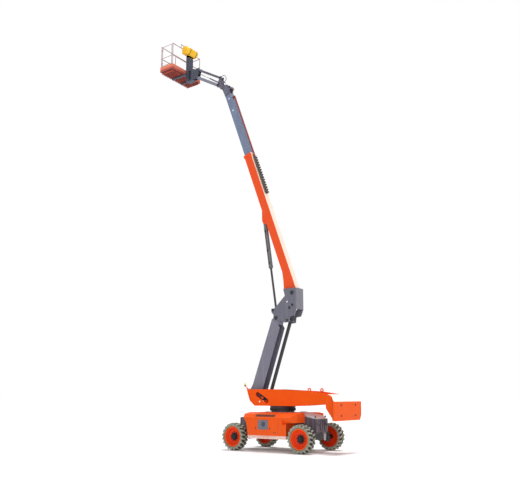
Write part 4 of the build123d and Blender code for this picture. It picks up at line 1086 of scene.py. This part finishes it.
@dataclass
class Boom:
    """Small parts along the boom: chain pins, tube clamps, wear pads, ribs, cylinder gland and pipe."""

    foot: tuple[float, float] = (0.605, 5.705)
    elevation: float = 69.87
    tip: float = 6.330
    half_depth: float = 0.170
    tray_end: float = 0.150
    tray_rise: float = 0.075
    tray_length: float = 1.810
    tray_links: int = 15
    tray_half: float = 0.060
    pad_row: tuple[float, float] = (9.285, 8.655)
    pad_half: float = 0.120
    tube_radius: float = 0.034
    clamp_shares: tuple[float, float] = (0.976, 0.992)
    rib_row: Triple = (9.62, 9.72, 9.82)
    rib_half: float = 0.139
    rib_lean: Triple = (-0.75, 0.0, -0.66)
    ring_row: tuple[float, float] = (0.32, 1.86)
    port_row: Triple = (0.42, 1.22, 1.74)
    port_out: float = 0.092

    def at(self, along: object, across: float, side: float) -> np.ndarray:
        """Places on the boom: foot + along (-cos e, sin e) + across (-sin e, -cos e), moved aside."""
        lean = np.radians(self.elevation)
        along = np.asarray(along, dtype=float)
        x = self.foot[0] - along * np.cos(lean) - across * np.sin(lean) + TURN_AXIS_X
        z = self.foot[1] + along * np.sin(lean) - across * np.cos(lean)
        return np.stack([x, np.full_like(x, side), z], axis=-1)

    def build(self) -> None:
        """Makes the parts in order from the boom to its head."""
        self.chain()
        self.pads()
        self.clamps()
        self.ribs()
        self.cylinder()

    def chain(self) -> None:
        """A round pin boss on each link of the hose chain, both sides."""
        pitch = self.tray_length / self.tray_links
        along = self.tip - self.tray_end - self.tray_length + (np.arange(self.tray_links) + 0.22) * pitch
        across = -self.half_depth - self.tray_rise
        profile = [(0.0, 0.007), (0.014, 0.007), (0.018, 0.004), (0.030, 0.004), (0.032, 0.0), (0.0, 0.0)]
        boss = Shape.turned(profile, 20)
        made = Shape.joined(
            boss.sideways(self.at(along, across, hand * self.tray_half), hand) for hand in HANDS
        )
        made.piece("chain_pins", Paint.PIPE, "boom")

    def pads(self) -> None:
        """Pale plugs of the wear pads, all but flush, so that they slide into the boom."""
        pad = Shape.turned([(0.0, 0.00012), (0.034, 0.00016), (0.036, 0.00012), (0.036, 0.0), (0.0, 0.0)], 32)
        made = Shape.joined(
            pad.sideways(self.at(self.pad_row, 0.0, hand * self.pad_half), hand) for hand in HANDS
        )
        made.piece("wear_pads", Paint.PAD, "fly", Slot.RAIL)

    def clamps(self) -> None:
        """Two rings round the upper end of the hose tube, clear of the boom when it is drawn in."""
        low, high = corners("carrier_tube")
        bore = self.tube_radius
        start, stop = np.array([high[0] - bore, 0.0, low[2]]), np.array([low[0] + bore, 0.0, high[2]])
        ring = [(bore, -0.012), (0.041, -0.010), (0.043, 0.0), (0.041, 0.010), (bore, 0.012), (bore, -0.012)]
        places = start + np.array(self.clamp_shares)[:, None] * (stop - start)
        made = Shape.turned(ring, 28).placed(places, stop - start)
        made.piece("tube_clamps", Paint.PIPE, "fly")

    def ribs(self) -> None:
        """Slanted stiffeners on the head's cheeks, in pairs."""
        rib = Shape.block((0.030, 0.240, 0.010), 0.003)
        made = Shape.joined(
            rib.placed(self.at(self.rib_row, 0.0, hand * self.rib_half), (0.0, hand, 0.0), up=self.rib_lean)
            for hand in HANDS
        )
        made.piece("head_ribs", Paint.FLY, "fly", Slot.GREY)

    def cylinder(self) -> None:
        """Gland nut and port blocks on the lift cylinder, with a hard pipe along its barrel."""
        eye = np.array(JOINTS["boom_barrel_swing"]["pos_m"])
        ahead = unit(np.array(JOINTS["boom_rod_travel"]["axis"]))
        beside = np.array([0.0, -1.0, 0.0])
        profile = [
            (0.060, -0.035), (0.087, -0.035), (0.090, -0.030), (0.090, 0.030), (0.086, 0.035), (0.060, 0.035),
            (0.060, -0.035),
        ]
        places = eye + np.array(self.ring_row)[:, None] * ahead
        rings = Shape.turned(profile, 44).placed(places, ahead, up=ALONG_Y)
        rings.piece("cylinder_rings", Paint.BARREL, "boom_barrel")
        spots = eye + np.array(self.port_row)[:, None] * ahead + beside * self.port_out
        ports = Shape.block((0.055, 0.080, 0.050), 0.006).placed(spots, beside, up=tuple(ahead))
        share = np.linspace(0.0, 1.0, 24)[:, None]
        lift = 0.024 * np.clip(4.0 * share * (1.0 - share), 0.0, 0.35) / 0.35
        path = spots[0] + share * (spots[2] - spots[0]) + beside * (0.010 + lift)
        ports += Shape.tube(path, 0.011, 12)
        ports.piece("cylinder_pipe", Paint.PIPE, "boom_barrel")


@dataclass
class Platform:
    """Console hood and foot, floor cleats, post feet and the bolts of the turning drum."""

    squareness: float = 0.62
    hood_lean: float = 38.0
    hood_half: Triple = (0.245, 0.372, 0.186)
    hood_inset: tuple[float, float] = (0.172, 0.166)
    strap_places: tuple[float, float] = (-0.55, 0.55)
    strap_half: float = 0.014
    strap_lift: float = 1.012
    cleat_pitch: float = 0.058
    foot_inset: float = 0.055
    foot_size: Triple = (0.090, 0.090, 0.010)
    screw_shift: float = 0.033
    drum_bolts: int = 8
    drum_ring: float = 0.085
    drum_half: float = 0.280

    def build(self) -> None:
        """Makes the parts from the console to the floor."""
        self.console()
        self.cleats()
        self.feet()
        self.drum()

    def console(self) -> None:
        """Rounded cover: a squared ellipse, leaned and carried along Y, narrowed by (1 - |v|^7)^0.4."""
        low, high = corners("console")
        lean = np.radians(self.hood_lean)
        middle = np.array([low[0] + self.hood_inset[0], 0.0, high[2] - self.hood_inset[1]])
        along = np.array([np.cos(lean), 0.0, -np.sin(lean)])
        across = np.array([np.sin(lean), 0.0, np.cos(lean)])
        place = np.linspace(-1.0, 1.0, 33)[:, None]
        narrow = (np.clip(1.0 - np.abs(place) ** 7, 0.0, 1.0) ** 0.4)[..., None]
        angle = np.linspace(0.0, TURN, 48, endpoint=False)[None]
        first, second = (squared(wave, self.squareness)[..., None] for wave in (np.cos(angle), np.sin(angle)))
        ring = self.hood_half[0] * first * along + self.hood_half[2] * second * across
        spine = middle + place[..., None] * np.array([0.0, self.hood_half[1], 0.0])
        Shape.grid(spine + narrow * ring).piece("console_hood", Paint.YELLOW, "platform", Slot.YELLOW)
        stand = np.array([low[0] + 0.175, 0.0, low[2] + 0.085])
        foot = Shape.block((0.280, 0.130, 0.178), 0.010).upright(stand)
        band = np.linspace(-self.strap_half, self.strap_half, 3)[:, None, None] * np.array(ALONG_Y)
        for side in self.strap_places:
            strap = middle + np.array([0.0, side * self.hood_half[1], 0.0]) + self.strap_lift * ring + band
            foot += Shape.grid(strap)
        foot.piece("console_foot", Paint.BLACK, "platform", Slot.BLACK)

    def cleats(self) -> None:
        """Raised cleats over the floor, on a grid whose even rows are shifted by half a step."""
        low, high = corners("platform_floor")
        x = np.arange(low[0] + 0.05, high[0] - 0.04, self.cleat_pitch)
        y = np.arange(low[1] + 0.05, high[1] - 0.08, self.cleat_pitch)
        grid = np.stack(np.meshgrid(x, y, [high[2] + 0.0005], indexing="ij"), axis=-1)[:, :, 0]
        grid[::2, :, 1] += self.cleat_pitch / 2
        cleat = Shape.turned([(0.0, 0.003), (0.009, 0.003), (0.014, 0.0), (0.0, 0.0)], 8)
        made = cleat.placed(grid.reshape(-1, 3), UP, up=(1.0, 0.3, 0.0))
        made.piece("floor_cleats", Paint.FLOOR, "platform")

    def feet(self) -> None:
        """Square foot plates with two screws under the rail posts."""
        low, high = corners("guard_rails")
        level = corners("platform_floor")[1][2] + self.foot_size[2] / 2
        inset = self.foot_inset
        rows = (low[1] + inset, 0.0, high[1] - inset)
        spots = np.array([[x, y, level] for x in (low[0] + inset, high[0] - inset) for y in rows])
        screws = np.concatenate([spots + np.array([0.0, hand * self.screw_shift, 0.004]) for hand in HANDS])
        made = Shape.block(self.foot_size, 0.003).upright(spots) + hex_bolt(0.007, 0.008).upright(screws)
        made.piece("post_feet", Paint.STUD, "platform")

    def drum(self) -> None:
        """Rings of bolts on the upper and lower arm over the turning axis."""
        ring = np.array(JOINTS["platform_turn"]["pos_m"]) + self.drum_ring * ring_of(self.drum_bolts)
        bolt = hex_bolt(0.011, 0.012)
        made = Shape.joined(
            bolt.placed(ring + np.array([0.0, 0.0, hand * self.drum_half]), (0.0, 0.0, hand), up=ALONG_X)
            for hand in HANDS
        )
        made.piece("drum_bolts", Paint.STUD, "platform")


@dataclass
class Chassis:
    """Cover over the steered end, painted white as a painted highlight of its lit top, and tow hoops, end
    bolts and lamps of the chassis.
    """

    end: float = 1.660
    tow: float = 1.765
    hoop_half: float = 0.046
    hoop_bend: float = 0.470
    hoop_legs: tuple[float, float, int] = (0.672, 0.490, 6)
    cover_start: float = 0.870
    cover_stop: float = 1.640
    cover_half: float = 0.392
    cover_drop: float = 0.075
    bolt_half: float = 0.34
    bolt_heights: Triple = (0.745, 0.830, 1.095)
    lamp: Triple = (1.605, 0.33, 1.214)
    lens_out: float = 0.025

    def build(self) -> None:
        """Makes the cover and the parts at both ends."""
        self.cover()
        for name, hand in (("drive", -1.0), ("steer", 1.0)):
            self.hoop(name, hand)
            self.fasteners(name, hand)
        self.lamps()

    def cover(self) -> None:
        """Sloped cover: crown height falls along X, less a drop by the fourth power of the share across."""
        share = np.linspace(0.0, 1.0, 21)[:, None]
        across = np.linspace(-1.0, 1.0, 25)[None]
        x = self.cover_start + (self.cover_stop - self.cover_start) * share + 0.0 * across
        y = self.cover_half * across + 0.0 * share
        crown = 1.388 - 0.140 * share - 0.075 * share ** 12
        low = 1.338 - 0.206 * share + 0.0 * across
        top = np.stack([x, y, crown - self.cover_drop * across ** 4], axis=-1)
        ring = np.concatenate([top, np.stack([x, y, low], axis=-1)[:, ::-1]], axis=1)
        ends = [np.repeat(ring[place].mean(axis=0)[None, None], ring.shape[1], axis=1) for place in (0, -1)]
        made = Shape.grid(np.concatenate([ends[0], ring, ends[1]]) + from_axis(0.0, 0.0, 0.0))
        # The cover is painted white: a painted highlight of the chassis's lit sloped top.
        made.piece("end_cover", Paint.PAD, "chassis", Slot.RAIL)

    def hoop(self, name: str, hand: float) -> None:
        """A bar bent to a U: two legs and a half circle, y = b cos a and z = c - b sin a."""
        angle = np.linspace(0.0, np.pi, 17)
        legs = np.linspace(*self.hoop_legs)
        half = np.full_like(legs, self.hoop_half)
        y = np.concatenate([half, self.hoop_half * np.cos(angle), -half])
        z = np.concatenate([legs, self.hoop_bend - self.hoop_half * np.sin(angle), legs[::-1]])
        path = np.stack([np.full_like(y, hand * self.tow + TURN_AXIS_X), y, z], axis=-1)
        made = Shape.tube(path, 0.012, 14, beside=ALONG_X)
        made.piece("tow_hoop_" + name, Paint.PAD, "chassis", Slot.RAIL)

    def fasteners(self, name: str, hand: float) -> None:
        """Bolts round the end plate."""
        spots = [(side * self.bolt_half, high) for side in HANDS for high in self.bolt_heights]
        places = np.array([from_axis(hand * self.end, *spot) for spot in spots])
        heads = hex_bolt(0.015, 0.014).placed(places, (hand, 0.0, 0.0))
        heads.piece("end_bolts_" + name, Paint.STUD, "chassis")

    def lamps(self) -> None:
        """Small round lamps in dark housings on the steered end's cover."""
        x, y, z = self.lamp
        spots = np.array([from_axis(x, hand * y, z) for hand in HANDS])
        house = Shape.block((0.080, 0.060, 0.050), 0.010).placed(spots, ALONG_X)
        house.piece("lamp_housings", Paint.GAUGE, "chassis", Slot.BLACK)
        lens = button(0.018, 0.012).placed(spots + np.array([self.lens_out, 0.0, 0.0]), ALONG_X)
        lens.piece("lamp_lenses", Paint.LENS, "chassis", Slot.LENS)


class Machine:
    """The finishes of the CAD nodes."""

    def build(self) -> None:
        """Dresses every CAD node that shows."""
        for paint, names in (
            (Paint.FRAME, ("chassis_frame",)),
            (Paint.DARK, ("slew_ring", "drive_axle", "steer_axle", "tie_rod", "power_pack", "deck_pins")),
            (Paint.DARK, ("steer_knuckle_left", "steer_knuckle_right", "tension_link", "riser_barrels")),
            (Paint.POD, ("pod_left", "pod_right", "pod_door_left", "pod_door_right")),
            (Paint.PANEL, ("ground_panel",)),
            (Paint.ORANGE, ("turntable_side_left", "turntable_side_right", "turntable_deck")),
            (Paint.ORANGE, ("beacon_bracket",)),
            (Paint.WEIGHT, ("counterweight",)),
            (Paint.RISER, ("riser_arm",)),
            (Paint.KNUCKLE, ("knuckle",)),
            (Paint.BARREL, ("boom_barrel", "jib_barrel", "level_barrel")),
            (Paint.CHROME, ("riser_rods", "jib_rod", "level_rod")),
            (Paint.ROD, ("boom_rod",)),
            (Paint.BOOM, ("base_boom",)),
            (Paint.TRAY, ("carrier_tray",)),
            (Paint.FLY, ("fly_boom",)),
            (Paint.TUBE, ("carrier_tube",)),
            (Paint.HEAD, ("boom_head", "level_bracket", "jib_link")),
            (Paint.ARM, ("jib_arm",)),
            (Paint.MAST, ("platform_mast", "jib_carrier")),
            (Paint.FLOOR, ("platform_floor",)),
            (Paint.TOE, ("toe_board",)),
            (Paint.RAIL, ("guard_rails", "entry_gate")),
            (Paint.YELLOW, ("console",)),
            (Paint.LENS, ("beacon",)),
            (Paint.CASING, ["tyre_" + wheel for wheel in WHEELS]),
            (Paint.RIM, ["rim_" + wheel for wheel in WHEELS]),
            (Paint.BLACK, ["hub_" + wheel for wheel in WHEELS]),
        ):
            dress(paint, *names)


def main() -> None:
    """Builds the parts of the scene in order."""
    bpy.context.scene.view_settings.view_transform = "Standard"
    wheels = [Wheel(name) for name in WHEELS]
    trim = (Pins(), Pods(), Deck(), Boom(), Platform(), Chassis())
    for part in (Studio(), HeadHoses(), Machine(), *wheels, *trim):
        part.build()
        LOG.info("built %s", type(part).__name__)


if __name__ == "__main__":
    logging.basicConfig(level=logging.INFO)
    main()
